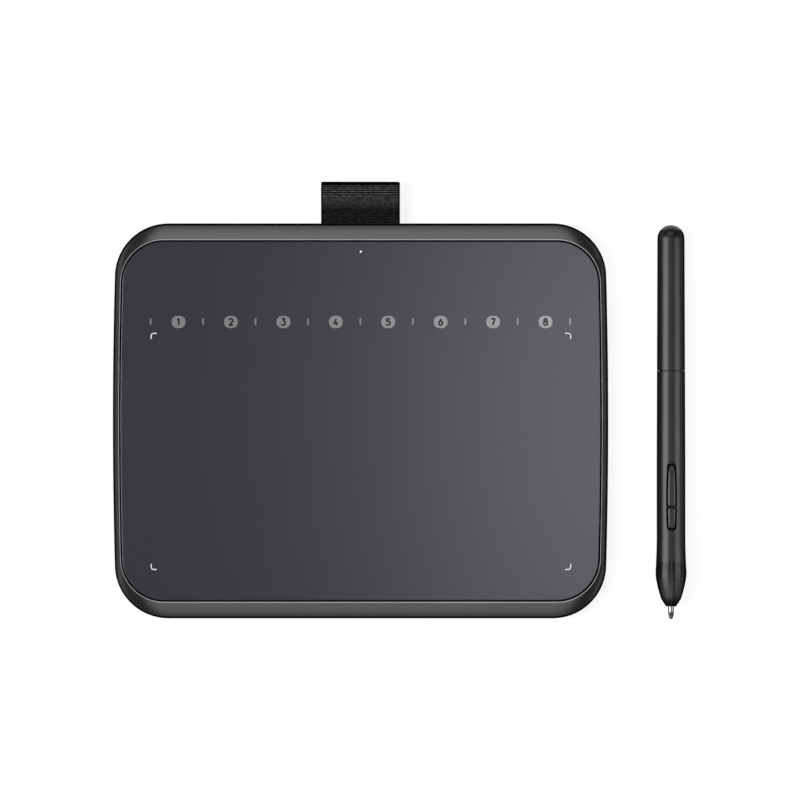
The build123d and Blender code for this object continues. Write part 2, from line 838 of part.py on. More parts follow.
def make_upper_button():
    """Rear button, longer, with its far end sloping down into the slot."""
    button = make_button(button_split + button_split_gap / 2, button_slot_end, button_middles()[1])
    top = waist_radius + button_proud
    ramp_start = button_slot_end - button_gap - button_ramp_length
    drop = button_ramp_drop * (button_slot_end - ramp_start) / button_ramp_length
    ramp = Polyline(
        (ramp_start, top),
        (ramp_start, top + overshoot),
        (button_slot_end, top + overshoot),
        (button_slot_end, top - drop),
        close=True,
    )
    return button - extrude(make_face(Plane.YZ * ramp), amount=ridge_radius, both=True)


def make_lower_button():
    front = button_slot_start - overshoot
    return make_button(front, button_split - button_split_gap / 2, button_middles()[0])


# ---- Every piece under its name
tablet_parts = {
    "top_case": make_top_case(),
    "work_surface": make_work_surface(),
    "film_glue": make_film_glue(),
    "sensor_board": make_sensor_board(),
    "shield_sheet": make_shield_sheet(),
    "controller_chip": make_controller_chip(),
    "scan_chips": make_scan_chips(),
    "crystal": make_crystal(),
    "status_led": make_status_led(),
    "light_pipe": make_light_pipe(),
    "usb_shell": make_usb_shell(),
    "usb_tongue": make_usb_tongue(),
    "bottom_cover": make_bottom_cover(),
    "case_screws": make_case_screws(),
    "pen_loop": make_pen_loop(),
    "loop_clamp": make_loop_clamp(),
}
for x, y in screw_places:
    side = "left" if x < 0 else "right"
    end = "front" if y < 0 else "rear"
    tablet_parts[f"foot_{end}_{side}"] = make_foot(x, y)

pen_parts = {
    "pen_barrel": make_pen_barrel(),
    "pen_tail": make_pen_tail(),
    "nib": make_nib(),
    "nib_holder": make_nib_holder(),
    "ferrite_core": make_ferrite_core(),
    "coil": make_coil(),
    "pressure_sensor": make_pressure_sensor(),
    "core_carrier": make_core_carrier(),
    "pen_board": make_pen_board(),
    "side_switches": make_side_switches(),
    "pen_chip": make_pen_chip(),
    "pen_capacitors": make_pen_capacitors(),
    "upper_button": make_upper_button(),
    "lower_button": make_lower_button(),
}

os.makedirs("parts", exist_ok=True)
for place, parts in ((tablet_place, tablet_parts), (pen_place, pen_parts)):
    for name, shape in parts.items():
        export_step(place * shape, f"parts/{name}.step")
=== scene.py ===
import math
import bpy
import numpy as np
from mathutils import Matrix


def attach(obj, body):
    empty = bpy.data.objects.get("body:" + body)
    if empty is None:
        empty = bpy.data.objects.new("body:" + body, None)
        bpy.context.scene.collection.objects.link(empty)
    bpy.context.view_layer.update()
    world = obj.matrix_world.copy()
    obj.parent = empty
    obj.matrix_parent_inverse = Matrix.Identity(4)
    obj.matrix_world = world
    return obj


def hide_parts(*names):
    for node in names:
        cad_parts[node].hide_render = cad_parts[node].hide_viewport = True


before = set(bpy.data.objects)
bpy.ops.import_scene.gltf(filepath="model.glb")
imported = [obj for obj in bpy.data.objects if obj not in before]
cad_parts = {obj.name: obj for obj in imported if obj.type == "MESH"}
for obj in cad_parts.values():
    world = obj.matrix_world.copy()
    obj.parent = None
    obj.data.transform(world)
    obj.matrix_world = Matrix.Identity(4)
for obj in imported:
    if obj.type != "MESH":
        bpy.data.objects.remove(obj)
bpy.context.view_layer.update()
mm = 0.001
hair = 0.001    # what a half-round end's rounding leaves of the half width
print("frame loaded:", len(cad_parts), "CAD nodes")

# Sizes are in millimetres. The tablet's pieces are drawn round its own centre, the pen's along its axis from
# the nib's tip, and both are then moved to their place in the shared frame.
tablet = {
    "middle": (-14.85, -7.8),
    "width": 188.8,
    "depth": 150.5,
    "sideBow": 2000.0,    # radius of the slightly bowed sides
    "caseInset": 0.3,     # how far the grey case stands inside the black base
    "partingZ": 2.2,
    "filmTop": 8.8,
}
pen = {
    "place": (103.3, -83.25),
    "ridge": (5.95, 17.2),      # radius, distance from the tip
    "waist": (5.46, 31.6),
    "taperAt": 60.0,
    "tail": (5.18, 144.82),
    "seamAt": 94.5,
}
penTilt = math.atan((pen["ridge"][0] - pen["tail"][0]) / (pen["tail"][1] - pen["ridge"][1]))
penRise = pen["ridge"][0] * math.cos(penTilt) + pen["ridge"][1] * math.sin(penTilt)

view = {
    "height": 2400.0,
    "across": 304.0,        # millimetres across the picture at the film's height
    "middle": (0.18, 0.16),
}
studio = {
    "world": 0.05,
    "floorSize": 60.0,      # metres
    "floorColour": 0.27,
    "floorGlow": 0.79,
    "boxes": {               # centre, height and width, power in watts; each looks at its aim
        "leftBox": ((-1211, -8, 1253), (1498, 500), 27.9, (241, -8, 162)),
        "rightBox": ((548, -8, 356), (468, 200), 1.6, (134, -8, -36)),
        "upperBox": ((120, -8, 795), (168, 320), 0.56, (304, -8, 21)),
        "rearBox": ((-10, 552, 502), (420, 620), 1.31, (-10, 0, 0)),
        "frontBox": ((-10, -561, 500), (420, 620), 0.92, (-10, 0, 0)),
    },
}
sockets = {
    "colour": "Base Color",
    "tint": "Specular Tint",
    "glow": "Emission Color",
    "roughness": "Roughness",
    "specular": "Specular IOR Level",
    "metal": "Metallic",
    "sheen": "Sheen Weight",
    "sheenRoughness": "Sheen Roughness",
    "brushed": "Anisotropic",
    "brushedTurn": "Anisotropic Rotation",
}


def placed(name, data):
    made = bpy.data.objects.new(name, data)
    bpy.context.scene.collection.objects.link(made)
    return made


def finish(name, **values):
    # a colour is three values, or one for a grey
    mat = bpy.data.materials.new(name)
    mat.use_nodes = True
    shader = mat.node_tree.nodes["Principled BSDF"]
    for key, value in values.items():
        if key in ("colour", "tint", "glow"):
            value = (*np.broadcast_to(value, 3), 1)
        shader.inputs[sockets[key]].default_value = value
    return mat


def node(mat, kind, inputs=None, **settings):
    made = mat.node_tree.nodes.new("ShaderNode" + kind)
    for key, value in settings.items():
        setattr(made, key, value)
    for key, value in (inputs or {}).items():
        if isinstance(value, bpy.types.NodeSocket):
            mat.node_tree.links.new(value, made.inputs[key])
        else:
            made.inputs[key].default_value = value
    return made


def shaderIn(mat, socket, value):
    mat.node_tree.links.new(value, mat.node_tree.nodes["Principled BSDF"].inputs[socket])


def product(mat, first, second):
    return node(mat, "Math", {0: first, 1: second}, operation="MULTIPLY").outputs[0]


def setCamera():
    # lens = sensor width * distance / width seen
    data = bpy.data.cameras.new("camera")
    data.lens = data.sensor_width * (view["height"] - tablet["filmTop"]) / view["across"]
    data.clip_start, data.clip_end = 0.01, 50
    camera = placed("camera", data)
    camera.location = (view["middle"][0] * mm, view["middle"][1] * mm, view["height"] * mm)
    bpy.context.scene.camera = camera


def setStudio():
    scene = bpy.context.scene
    scene.view_settings.view_transform = "Standard"
    world = bpy.data.worlds.new("studio")
    world.use_nodes = True
    world.node_tree.nodes["Background"].inputs["Color"].default_value = (1, 1, 1, 1)
    world.node_tree.nodes["Background"].inputs["Strength"].default_value = studio["world"]
    scene.world = world
    for name, (centre, size, watts, aim) in studio["boxes"].items():
        lamp = bpy.data.lights.new(name, "AREA")
        lamp.shape = "RECTANGLE"
        lamp.size, lamp.size_y = size[0] * mm, size[1] * mm
        lamp.energy = watts
        away = np.subtract(aim, centre)
        away = away / np.linalg.norm(away)
        side = np.cross(away, [0, 1, 0] if abs(away[0]) > abs(away[1]) else [-1, 0, 0])
        side = side / np.linalg.norm(side)
        turn = np.array([side, np.cross(side, away), -away]).T
        rows = [[*row, place * mm] for row, place in zip(turn, centre)]
        placed(name, lamp).matrix_world = Matrix([*rows, [0, 0, 0, 1]])


def layFloor():
    # plain pale floor; the glow takes the far ground to white and leaves the soft shadow
    far = studio["floorSize"] / 2
    mesh = bpy.data.meshes.new("floor")
    mesh.from_pydata([(-far, -far, 0), (far, -far, 0), (far, far, 0), (-far, far, 0)], [], [(0, 1, 2, 3)])
    mat = finish("paleFloor", colour=studio["floorColour"], roughness=0.9, specular=0, glow=1)
    rays = node(mat, "LightPath").outputs
    seen = rays["Is Camera Ray"]
    for ray in ("Is Glossy Ray", "Is Transmission Ray"):
        seen = node(mat, "Math", {0: seen, 1: rays[ray]}, operation="ADD").outputs[0]
    shaderIn(mat, "Emission Strength", product(mat, seen, studio["floorGlow"]))
    mesh.materials.append(mat)
    placed("floor", mesh)


setCamera()
setStudio()
layFloor()
print("camera, studio and floor are set")


def softLine(corners, steps=6, closed=False):
    # corners has rows of (rounding, coordinates). Each corner C becomes the curve (1-t)^2 A + 2t(1-t) C + t^2
    # B, with A and B at the rounding's distance along its two sides.
    corners = np.array(corners, float)
    if not closed:
        corners[[0, -1], 0] = 0
    cut, point = corners[:, :1], corners[:, 1:]
    ends = []
    for way in (1, -1):
        side = np.roll(point, way, 0) - point
        side /= np.maximum(np.linalg.norm(side, axis=1, keepdims=True), 1e-9)
        ends.append((point + cut * side)[:, None])
    t = np.linspace(0, 1, steps)[None, :, None]
    line = (1 - t) ** 2 * ends[0] + 2 * t * (1 - t) * point[:, None] + t**2 * ends[1]
    line = line.reshape(-1, point.shape[1])
    moved = np.linalg.norm(np.diff(line, axis=0), axis=1) > 1e-6
    return line[np.concatenate([[True], moved])]


def arcThrough(a, b, c, count):
    # Points on the circle through a, b and c, from a to c: centre + radius (cos, sin) of evenly spaced
    # angles. The centre solves 2 (b - a).m = b.b - a.a and 2 (c - a).m = c.c - a.a.
    a, b, c = np.array([a, b, c])
    centre = np.linalg.solve(2 * np.array([b - a, c - a]), [b @ b - a @ a, c @ c - a @ a])
    first, last = (math.atan2(end[1] - centre[1], end[0] - centre[0]) for end in (a, c))
    turn = (last - first + math.pi) % (2 * math.pi) - math.pi
    angle = first + turn * np.linspace(0, 1, count)
    return centre + np.linalg.norm(a - centre) * np.stack([np.cos(angle), np.sin(angle)], 1)


def atHeight(line, z):
    return np.column_stack([line, np.full(len(line), z)])


def gridFaces(rows, columns):
    # Quads (r,c) (r,c+1) (r+1,c+1) (r+1,c) of a grid whose last column is joined to its first.
    r = np.arange(rows - 1)[:, None] * columns
    c = np.arange(columns)[None, :]
    n = (c + 1) % columns
    return np.stack([r + c, r + n, r + columns + n, r + columns + c], -1).reshape(-1, 4)


def cappedFaces(rings):
    # The rings' quads, with the first and last ring closed by one flat face each.
    rows, columns = rings.shape[:2]
    ring = np.arange(columns)
    return gridFaces(rows, columns), [ring[::-1].tolist(), (ring + (rows - 1) * columns).tolist()]


def meshOf(points, quads, caps=(), uv=None, marks=None):
    # A mesh from points in millimetres. Points that meet are welded, quads that close up become triangles,
    # and all faces are turned round if the volume, the sum of p1.(p2 x p3)/6, comes out negative.
    flat = points.reshape(-1, 3)
    grid = np.round(flat * 1e4).astype(np.int64)
    _, first, same = np.unique(grid, axis=0, return_index=True, return_inverse=True)
    same = same.reshape(-1)
    quads = same[quads]
    kept = flat[first]
    meets = quads == np.roll(quads, -1, 1)
    whole = quads[~meets.any(1)]
    isFolded = meets.sum(1) == 1
    folded, gap = quads[isFolded], meets[isFolded].argmax(1)
    triangles = np.stack([folded[np.arange(len(folded)), (gap + k) % 4] for k in (1, 2, 3)], 1)
    triangles = triangles[triangles[:, 0] != triangles[:, 2]]
    ends = [same[cap].tolist() for cap in caps]
    corners = [whole[:, [0, 1, 2]], whole[:, [0, 2, 3]], triangles]
    corners += [np.stack([np.full(len(cap) - 2, cap[0]), cap[1:-1], cap[2:]], 1) for cap in ends]
    a, b, c = kept[np.concatenate(corners).T]
    faces = whole.tolist() + triangles.tolist() + ends
    if (a * np.cross(b, c)).sum() < 0:
        faces = [face[::-1] for face in faces]
    mesh = bpy.data.meshes.new("mesh")
    mesh.from_pydata((kept * mm).tolist(), [], faces)
    if uv is not None:
        layer = mesh.uv_layers.new(name="weaveMap")
        corner = np.zeros(len(mesh.loops), np.int32)
        mesh.loops.foreach_get("vertex_index", corner)
        layer.data.foreach_set("uv", uv.reshape(-1, 2)[first][corner].astype(np.float32).ravel())
    for mark, values in (marks or {}).items():
        layer = mesh.attributes.new(mark, "FLOAT", "POINT")
        layer.data.foreach_set("value", values.reshape(-1)[first].astype(np.float32))
    mesh.validate()
    return mesh


def addPiece(name, mesh, look, body, nodes=(), sharp=38):
    mesh.name = name
    mesh.polygons.foreach_set("use_smooth", np.ones(len(mesh.polygons), bool))
    mesh.set_sharp_from_angle(angle=math.radians(sharp))
    mesh.materials.clear()
    mesh.materials.append(looks[look])
    piece = placed(name, mesh)
    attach(piece, body)
    if nodes:
        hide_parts(*nodes)
    return piece


def faceFacts(mesh):
    # centres of the faces in millimetres, and their normals
    facts = np.zeros((2, len(mesh.polygons) * 3), np.float32)
    mesh.polygons.foreach_get("center", facts[0])
    mesh.polygons.foreach_get("normal", facts[1])
    return facts[0].reshape(-1, 3) / mm, facts[1].reshape(-1, 3)


def paintFaces(mesh, groups):
    # the faces of each group, a row of true and false, get the finish of its name; the first one wins
    index = np.zeros(len(mesh.polygons), np.int32)
    for k, group in reversed(list(enumerate(groups.values()))):
        index[group] = k + 1
    for look in groups:
        mesh.materials.append(looks[look])
    mesh.polygons.foreach_set("material_index", index)


def cutFrom(mesh, *cutters):
    # each cutter is taken away with a Boolean, then deleted
    block = placed("blank", mesh)
    tools = [placed("cutter", cutter) for cutter in cutters]
    for tool in tools:
        step = block.modifiers.new("cut", "BOOLEAN")
        step.operation, step.solver, step.object = "DIFFERENCE", "EXACT", tool
    shape = block.evaluated_get(bpy.context.evaluated_depsgraph_get())
    made = bpy.data.meshes.new_from_object(shape)
    for used in (*tools, block):
        bpy.data.objects.remove(used)
    return made


def onTablet(points):
    return points + (*tablet["middle"], 0.0)


def onPen(points):
    # The pen's own (x, y, z) turned by its small tilt about X and moved to its place.
    x, y, z = points[..., 0], points[..., 1], points[..., 2]
    c, s = math.cos(penTilt), math.sin(penTilt)
    return np.stack([x + pen["place"][0], y * c + z * s + pen["place"][1], z * c - y * s + penRise], -1)


reach = 75.0    # a ring that is shrunk by this closes at the tablet's middle


def tabletMesh(rows):
    # Rows of (rounding, side inset, end inset, corner radius, z, shrink), softened at their corners. Each
    # point of that line becomes the tablet's outline: sides on a circle of the bow's radius, corners tangent
    # to them, straight ends, all times 1 - shrink / reach.
    sideIn, endIn, radius, z, shrink = softLine(rows, 5).T[..., None]
    scale = 1 - shrink / reach
    halfDepth = tablet["depth"] / 2 - endIn
    halfWidth = tablet["width"] / 2 - sideIn
    bow = tablet["sideBow"]
    cornerX = halfWidth - bow + np.sqrt((bow - radius) ** 2 - (halfDepth - radius) ** 2)
    lean = np.arcsin((halfDepth - radius) / (bow - radius))
    a = lean * np.linspace(0, 1, 12)[None, :-1]
    b = lean + (math.pi / 2 - lean) * np.linspace(0, 1, 40)[None, :]
    c = np.linspace(1, 0, 16)[None, 1:]
    x = np.concatenate([halfWidth - bow + bow * np.cos(a), cornerX + radius * np.cos(b), cornerX * c], 1)
    y = np.concatenate([bow * np.sin(a), halfDepth - radius + radius * np.sin(b), halfDepth + 0 * c], 1)
    x = np.concatenate([x, -x[:, -2::-1], -x[:, 1:], x[:, -2:0:-1]], 1)
    y = np.concatenate([y, y[:, -2::-1], -y[:, 1:], -y[:, -2:0:-1]], 1)
    rings = np.stack([x * scale, y * scale, z + 0 * x], -1)
    return meshOf(onTablet(rings), gridFaces(*x.shape))


def turnedRings(line, columns):
    # line has rows of (radius, distance along the pen); each is a ring (r sin a, y, r cos a).
    a = (np.arange(columns) + 0.5) / columns * 2 * math.pi
    radius, y = line[:, 0, None], line[:, 1, None]
    return np.stack([radius * np.sin(a), y + 0 * a, radius * np.cos(a)], -1)


def turnedMesh(line, columns):
    return meshOf(onPen(turnedRings(line, columns)), gridFaces(len(line), columns))


def loopRings(plan, levels):
    # plan(growth) is a closed line of (x, y). Each level (growth, z) is that line at its height.
    return np.stack([atHeight(plan(grow), z) for grow, z in levels])


def ringsMesh(rings, move=onTablet):
    return meshOf(move(rings), *cappedFaces(rings))


def joinedMesh(patches):
    # several runs of rings in one mesh; a run that comes back to its start has no ends to close
    points, quads, caps, count = [], [], [], 0
    for rings in patches:
        sides, ends = cappedFaces(rings)
        points.append(onTablet(rings).reshape(-1, 3))
        quads.append(sides + count)
        if not np.allclose(rings[0], rings[-1]):
            caps += [[k + count for k in end] for end in ends]
        count += len(points[-1])
    return meshOf(np.concatenate(points), np.concatenate(quads), caps)


def grains(mat, size, detail=2.0, stretch=None):
    # Noise whose spots are about size millimetres across, from 0 to 1.
    source = node(mat, "TexCoord").outputs["Object"]
    if stretch:
        source = node(mat, "Mapping", {"Vector": source, "Scale": stretch}).outputs[0]
    inputs = {"Vector": source, "Scale": 1 / (size * mm), "Detail": detail}
    return node(mat, "TexNoise", inputs).outputs["Fac"]


def bands(mat, place, size, way, **values):
    # Waves across one axis, from 0 to 1, that come back every 1.974 * size millimetres.
    inputs = {"Vector": place, "Scale": 1 / (size * mm) / 6.283, **values}
    return node(mat, "TexWave", inputs, bands_direction=way).outputs["Fac"]


def spread(mat, value, low, high, fromLow=0.3, fromHigh=0.7):
    inputs = {"Value": value, "From Min": fromLow, "From Max": fromHigh, "To Min": low, "To Max": high}
    return node(mat, "MapRange", inputs).outputs[0]


def along(mat, kind, axis):
    # one axis of the piece's own place, in metres, or of its normal
    place = node(mat, "TexCoord").outputs[kind]
    return node(mat, "SeparateXYZ", {"Vector": place}).outputs[axis]


def twoTone(mat, value, dark, light):
    dark, light = (tone if isinstance(tone, bpy.types.NodeSocket) else (*tone, 1) for tone in (dark, light))
    return node(mat, "Mix", {"Factor": value, 6: dark, 7: light}, data_type="RGBA").outputs[2]


def raised(mat, height, depth):
    # Bump of the given depth in millimetres from a height between 0 and 1.
    return node(mat, "Bump", {"Height": height, "Distance": depth * mm, "Strength": 1.0}).outputs[0]


def times(share, tone):
    return tuple(share * value for value in tone)


def surface(mat, colour, roughness, bump):
    for socket, value in (("Base Color", colour), ("Roughness", roughness), ("Normal", bump)):
        shaderIn(mat, socket, value)
    return mat


def mouldedPlastic(name, tones, rough, grain, depth, drift=14.0, steep=None, **values):
    # tone = a slow noise between two tones; roughness and bump = a fine noise, the mould's spark grain. With
    # steep, the tone falls to that share where the surface stands up: a painted shade on the standing parts
    mat = finish(name, **values)
    fine = grains(mat, grain)
    colour = twoTone(mat, spread(mat, grains(mat, drift, 3.0), 0, 1), *tones)
    if steep is not None:
        upward = spread(mat, along(mat, "Normal", "Z"), 0, 1, 0.70, 0.85)
        colour = twoTone(mat, upward, times(steep, tones[0]), colour)
    return surface(mat, colour, spread(mat, fine, *rough), raised(mat, fine, depth))


def platedMetal(name, tone, rough, drawn):
    # plated sheet or turned metal: scratches are noise drawn out along one axis, over a slow change of tone
    mat = finish(name, metal=1.0)
    lines = grains(mat, 0.12, stretch=drawn)
    colour = twoTone(mat, spread(mat, grains(mat, 3.0), 0, 1), times(0.82, tone), tone)
    return surface(mat, colour, spread(mat, lines, *rough), raised(mat, lines, 0.002))


def boardLook():
    # solder mask over copper: tracks 1.2 mm apart along X or Y, the copper lifting the mask a little
    mat = finish("boardMask")
    place = node(mat, "TexCoord").outputs["Object"]
    tracks = [spread(mat, bands(mat, place, 0.6, way), 0, 1, 0.72, 0.86) for way in "XY"]
    areas = spread(mat, grains(mat, 9.0, 1.0), 0, 1, 0.47, 0.53)
    copper = node(mat, "Mix", {0: areas, 2: tracks[0], 3: tracks[1]}).outputs[0]
    colour = twoTone(mat, copper, (0.008, 0.035, 0.016), (0.030, 0.105, 0.050))
    rough = spread(mat, grains(mat, 0.3), 0.28, 0.4)
    return surface(mat, colour, rough, raised(mat, copper, 0.02))


def windingLook():
    # enamelled copper wire, one turn every 0.4 mm along the pen
    mat = finish("windingCopper", metal=1.0)
    place = node(mat, "TexCoord").outputs["Object"]
    turns = bands(mat, place, 0.2, "Y", Distortion=0.1)
    colour = twoTone(mat, turns, (0.25, 0.07, 0.025), (0.72, 0.33, 0.16))
    rough = spread(mat, grains(mat, 0.5), 0.25, 0.4)
    return surface(mat, colour, rough, raised(mat, turns, 0.08))


# Each plastic has its two tones, its least and most roughness, and the size and depth of its grain in
# millimetres. A tone with two values has the same red and green. The satin lacquers are dark metallic bases
# whose edge tint takes the gloss away at grazing angles.
plastics = {
    # casePaint's steep is painted shade: the grey band darkens where it stands up at its sides and corners
    "casePaint": dict(
        tones=[(0.097, 0.1), (0.102, 0.1055)], rough=(0.28, 0.32), grain=0.18, depth=0.002, metal=0.93,
        specular=0, tint=0.4, steep=0.62),
    # the case paint's darker copy for its side and rolled edge: painted shade
    "casePaintShadedSide": dict(
        tones=[(0.007, 0.0074), (0.009, 0.0094)], rough=(0.42, 0.5), grain=0.18, depth=0.002, metal=0.85,
        specular=0, tint=0),
    # the lip's pale tone is a painted highlight along its flat top
    "lipPaintedHighlight": dict(
        tones=[(0.25, 0.257), (0.28, 0.288)], rough=(0.32, 0.38), grain=0.18, depth=0.001, specular=0.9),
    "drawFilm": dict(
        tones=[(0.0056, 0.0052, 0.0084), (0.0066, 0.0062, 0.0096)], rough=(0.28, 0.32), grain=0.12,
        depth=0.001, specular=1, tint=(0.94, 0.92, 1.0)),
    # the film's rounded rim is a little paler than the film: a painted highlight
    "filmRimHighlight": dict(
        tones=[(0.014, 0.0138, 0.018), (0.018, 0.0178, 0.022)], rough=(0.3, 0.36), grain=0.12, depth=0.001,
        specular=1),
    # near-black painted shade for grooves, gaps, recesses and ledges
    "paintedShadeBlack": dict(
        tones=[(0.0015, 0.0016), (0.0022, 0.0024)], rough=(0.6, 0.7), grain=0.3, depth=0.004, specular=0),
    "basePlastic": dict(
        tones=[(0.006, 0.0065), (0.009, 0.0095)], rough=(0.5, 0.6), grain=0.35, depth=0.012, specular=0.35),
    "footRubber": dict(
        tones=[(0.014, 0.014), (0.02, 0.02)], rough=(0.7, 0.85), grain=0.5, depth=0.02, specular=0.3),
    "penBody": dict(
        tones=[(0.033, 0.0335, 0.0348), (0.036, 0.0365, 0.0378)], rough=(0.35, 0.37), grain=0.15,
        depth=0.0012, metal=0.884, specular=0, tint=0.1),
    # the nose's paler tone and its fades in paintNoseShade are painted highlight and painted shade
    "penNose": dict(
        tones=[(0.072, 0.073, 0.075), (0.077, 0.078, 0.08)], rough=(0.34, 0.36), grain=0.15, depth=0.0012,
        metal=0.96, specular=0, tint=0, brushed=0.75, brushedTurn=0.25),
    "buttonPlastic": dict(
        tones=[(0.034, 0.0343, 0.0355), (0.037, 0.0373, 0.0385)], rough=(0.32, 0.36), grain=0.15,
        depth=0.0012, metal=0.85, specular=0, tint=0.2),
    "penEnd": dict(
        tones=[(0.006, 0.0064), (0.007, 0.0074)], rough=(0.33, 0.36), grain=0.15, depth=0.0012),
    "nibPlastic": dict(
        tones=[(0.16, 0.163), (0.19, 0.193)], rough=(0.16, 0.22), grain=0.4, depth=0.0006, metal=0.85,
        specular=0, tint=0),
    "printInk": dict(
        tones=[(0.285, 0.283, 0.293), (0.305, 0.303, 0.313)], rough=(0.28, 0.33), grain=0.1, depth=0.001,
        metal=0.64, specular=0, tint=0.7),
    "digitInk": dict(
        tones=[(0.003, 0.004), (0.004, 0.005)], rough=(0.34, 0.4), grain=0.12, depth=0.001, specular=0.25),
    "markInk": dict(
        tones=[(0.7, 0.715), (0.76, 0.775)], rough=(0.4, 0.5), grain=0.1, depth=0.002),
    "chipBlack": dict(
        tones=[(0.012, 0.013), (0.018, 0.019)], rough=(0.45, 0.6), grain=0.1, depth=0.01, specular=0.4),
    "clampPlastic": dict(
        tones=[(0.025, 0.025), (0.032, 0.032)], rough=(0.4, 0.5), grain=0.3, depth=0.006),
    "carrierPlastic": dict(
        tones=[(0.7, 0.68), (0.76, 0.74)], rough=(0.35, 0.45), grain=0.3, depth=0.004),
    "sensorPlastic": dict(
        tones=[(0.18, 0.19), (0.22, 0.23)], rough=(0.4, 0.5), grain=0.25, depth=0.004),
    "ferriteCore": dict(
        tones=[(0.035, 0.037), (0.06, 0.062)], rough=(0.5, 0.7), grain=0.08, depth=0.01, drift=0.6),
    "diodeWhite": dict(
        tones=[(0.82, 0.78), (0.88, 0.84)], rough=(0.25, 0.35), grain=0.2, depth=0.002),
    "glueSheet": dict(
        tones=[(0.52, 0.5), (0.62, 0.6)], rough=(0.6, 0.8), grain=0.4, depth=0.02, specular=0.3, drift=2.0),
    "socketBlack": dict(
        tones=[(0.01, 0.011), (0.014, 0.015)], rough=(0.35, 0.45), grain=0.1, depth=0.002),
}
# tone, least and most roughness, and a factor for each axis of the noise; a small one draws the scratches out
metals = {
    "socketSteel": ((0.60, 0.60, 0.61), (0.22, 0.34), (1, 0.05, 1)),
    "contactGold": ((0.86, 0.62, 0.26), (0.18, 0.28), (1, 0.05, 1)),
    "canMetal": ((0.62, 0.62, 0.60), (0.25, 0.4), (0.1, 1, 1)),
    "screwSteel": ((0.28, 0.28, 0.29), (0.3, 0.45), (1, 1, 0.1)),
    "shieldFoil": ((0.36, 0.36, 0.37), (0.35, 0.5), (0.05, 1, 1)),
}
for values in plastics.values():
    values["tones"] = [(tone[0], *tone[-2:]) for tone in values["tones"]]
looks = {name: mouldedPlastic(name, **values) for name, values in plastics.items()}
looks.update({name: platedMetal(name, *values) for name, values in metals.items()})
looks.update(boardMask=boardLook(), windingCopper=windingLook())


def paintNoseShade(mat, fades, share, steep):
    # the turned nose of the pen, whose gloss runs along it. Its tone is painted light and shade: paler than
    # the barrel's, which brightens the cone's highlights, it goes from share of the nose's own to all of it
    # between the first two distances from the tip, a painted shade towards the tip, from there to the
    # barrel's tone between the last two, and falls to steep where the surface stands up, a painted shade on
    # the sides: each a + (b - a) * (place - start) / (end - start)
    shaderIn(mat, "Tangent", node(mat, "Tangent", direction_type="RADIAL", axis="Y").outputs[0])
    place = along(mat, "Object", "Y")
    tip = pen["place"][1]
    front, rear = (spread(mat, place, 0, 1, (tip + a) * mm, (tip + b) * mm) for a, b in fades)
    dark, light = plastics["penNose"]["tones"]
    colour = twoTone(mat, rear, light, plastics["penBody"]["tones"][0])
    colour = twoTone(mat, front, times(share, dark), colour)
    side = twoTone(mat, front, times(share, dark), times(steep, dark))
    upward = spread(mat, along(mat, "Normal", "Z"), 0, 1, 0.58, 0.82)
    shaderIn(mat, "Base Color", twoTone(mat, upward, side, colour))


paintNoseShade(looks["penNose"], [(6.4, 9.2), (13.0, 18.5)], 0.25, 0.5)
print("finishes ready:", len(looks))

# the CAD's own inner parts keep their shapes and get these finishes
innerFinishes = {
    "glueSheet": ["film_glue"],
    "boardMask": ["sensor_board", "pen_board"],
    "shieldFoil": ["shield_sheet"],
    "chipBlack": ["controller_chip", "scan_chips", "pen_chip"],
    "canMetal": ["crystal", "side_switches"],
    "diodeWhite": ["status_led"],
    "screwSteel": ["case_screws"],
    "clampPlastic": ["loop_clamp"],
    "carrierPlastic": ["nib_holder", "core_carrier"],
    "ferriteCore": ["ferrite_core"],
    "windingCopper": ["coil"],
    "sensorPlastic": ["pressure_sensor", "pen_capacitors"],
}
for look, nodeNames in innerFinishes.items():
    for nodeName in nodeNames:
        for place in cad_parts[nodeName].material_slots:
            place.material = looks[look]
print("inner parts finished:", sum(map(len, innerFinishes.values())))

case = {
    "edgeZ": 6.5,
    "lipZ": 9.0,
    "bandSide": 2.1,
    "bandEnd": 5.8,
    # the rolled edge strip is darkened with painted shade
    "edgeStrip": (0.66, 0.64),     # width and height of the dark rolled edge below the grey band
    "cornerRadius": 20.4,
    "lipRadius": 16.9,
    "lipWidth": (0.34, 0.50),      # at the sides and at the ends
    "lipFlat": (0.22, 0.44),       # bright flat part of the lip; the rest rolls down into the groove
    "bulge": 0.07,
    "recessZ": 8.2,
    "plateZ": 7.0,
    "wallSide": 1.9,
    "wallEnd": 2.3,
    "loopHole": (31.0, 2.4, 0.35),       # width, height and rounding of the slot for the webbing
    "socketHole": (9.34, 3.66, 1.829),
    "socketX": -46.0,
    "holesZ": 4.37,
    "holeDepth": 4.5,
    "holeChamfer": 0.12,
}


caseInset = tablet["caseInset"]
lipPlan = np.array([caseInset + case["bandSide"], caseInset + case["bandEnd"], case["lipRadius"]])


def lipOffset(widths):
    # the lip's widths at the sides and ends, and what they take off the corner's radius
    return np.array([widths[0], widths[1], -widths[1]])


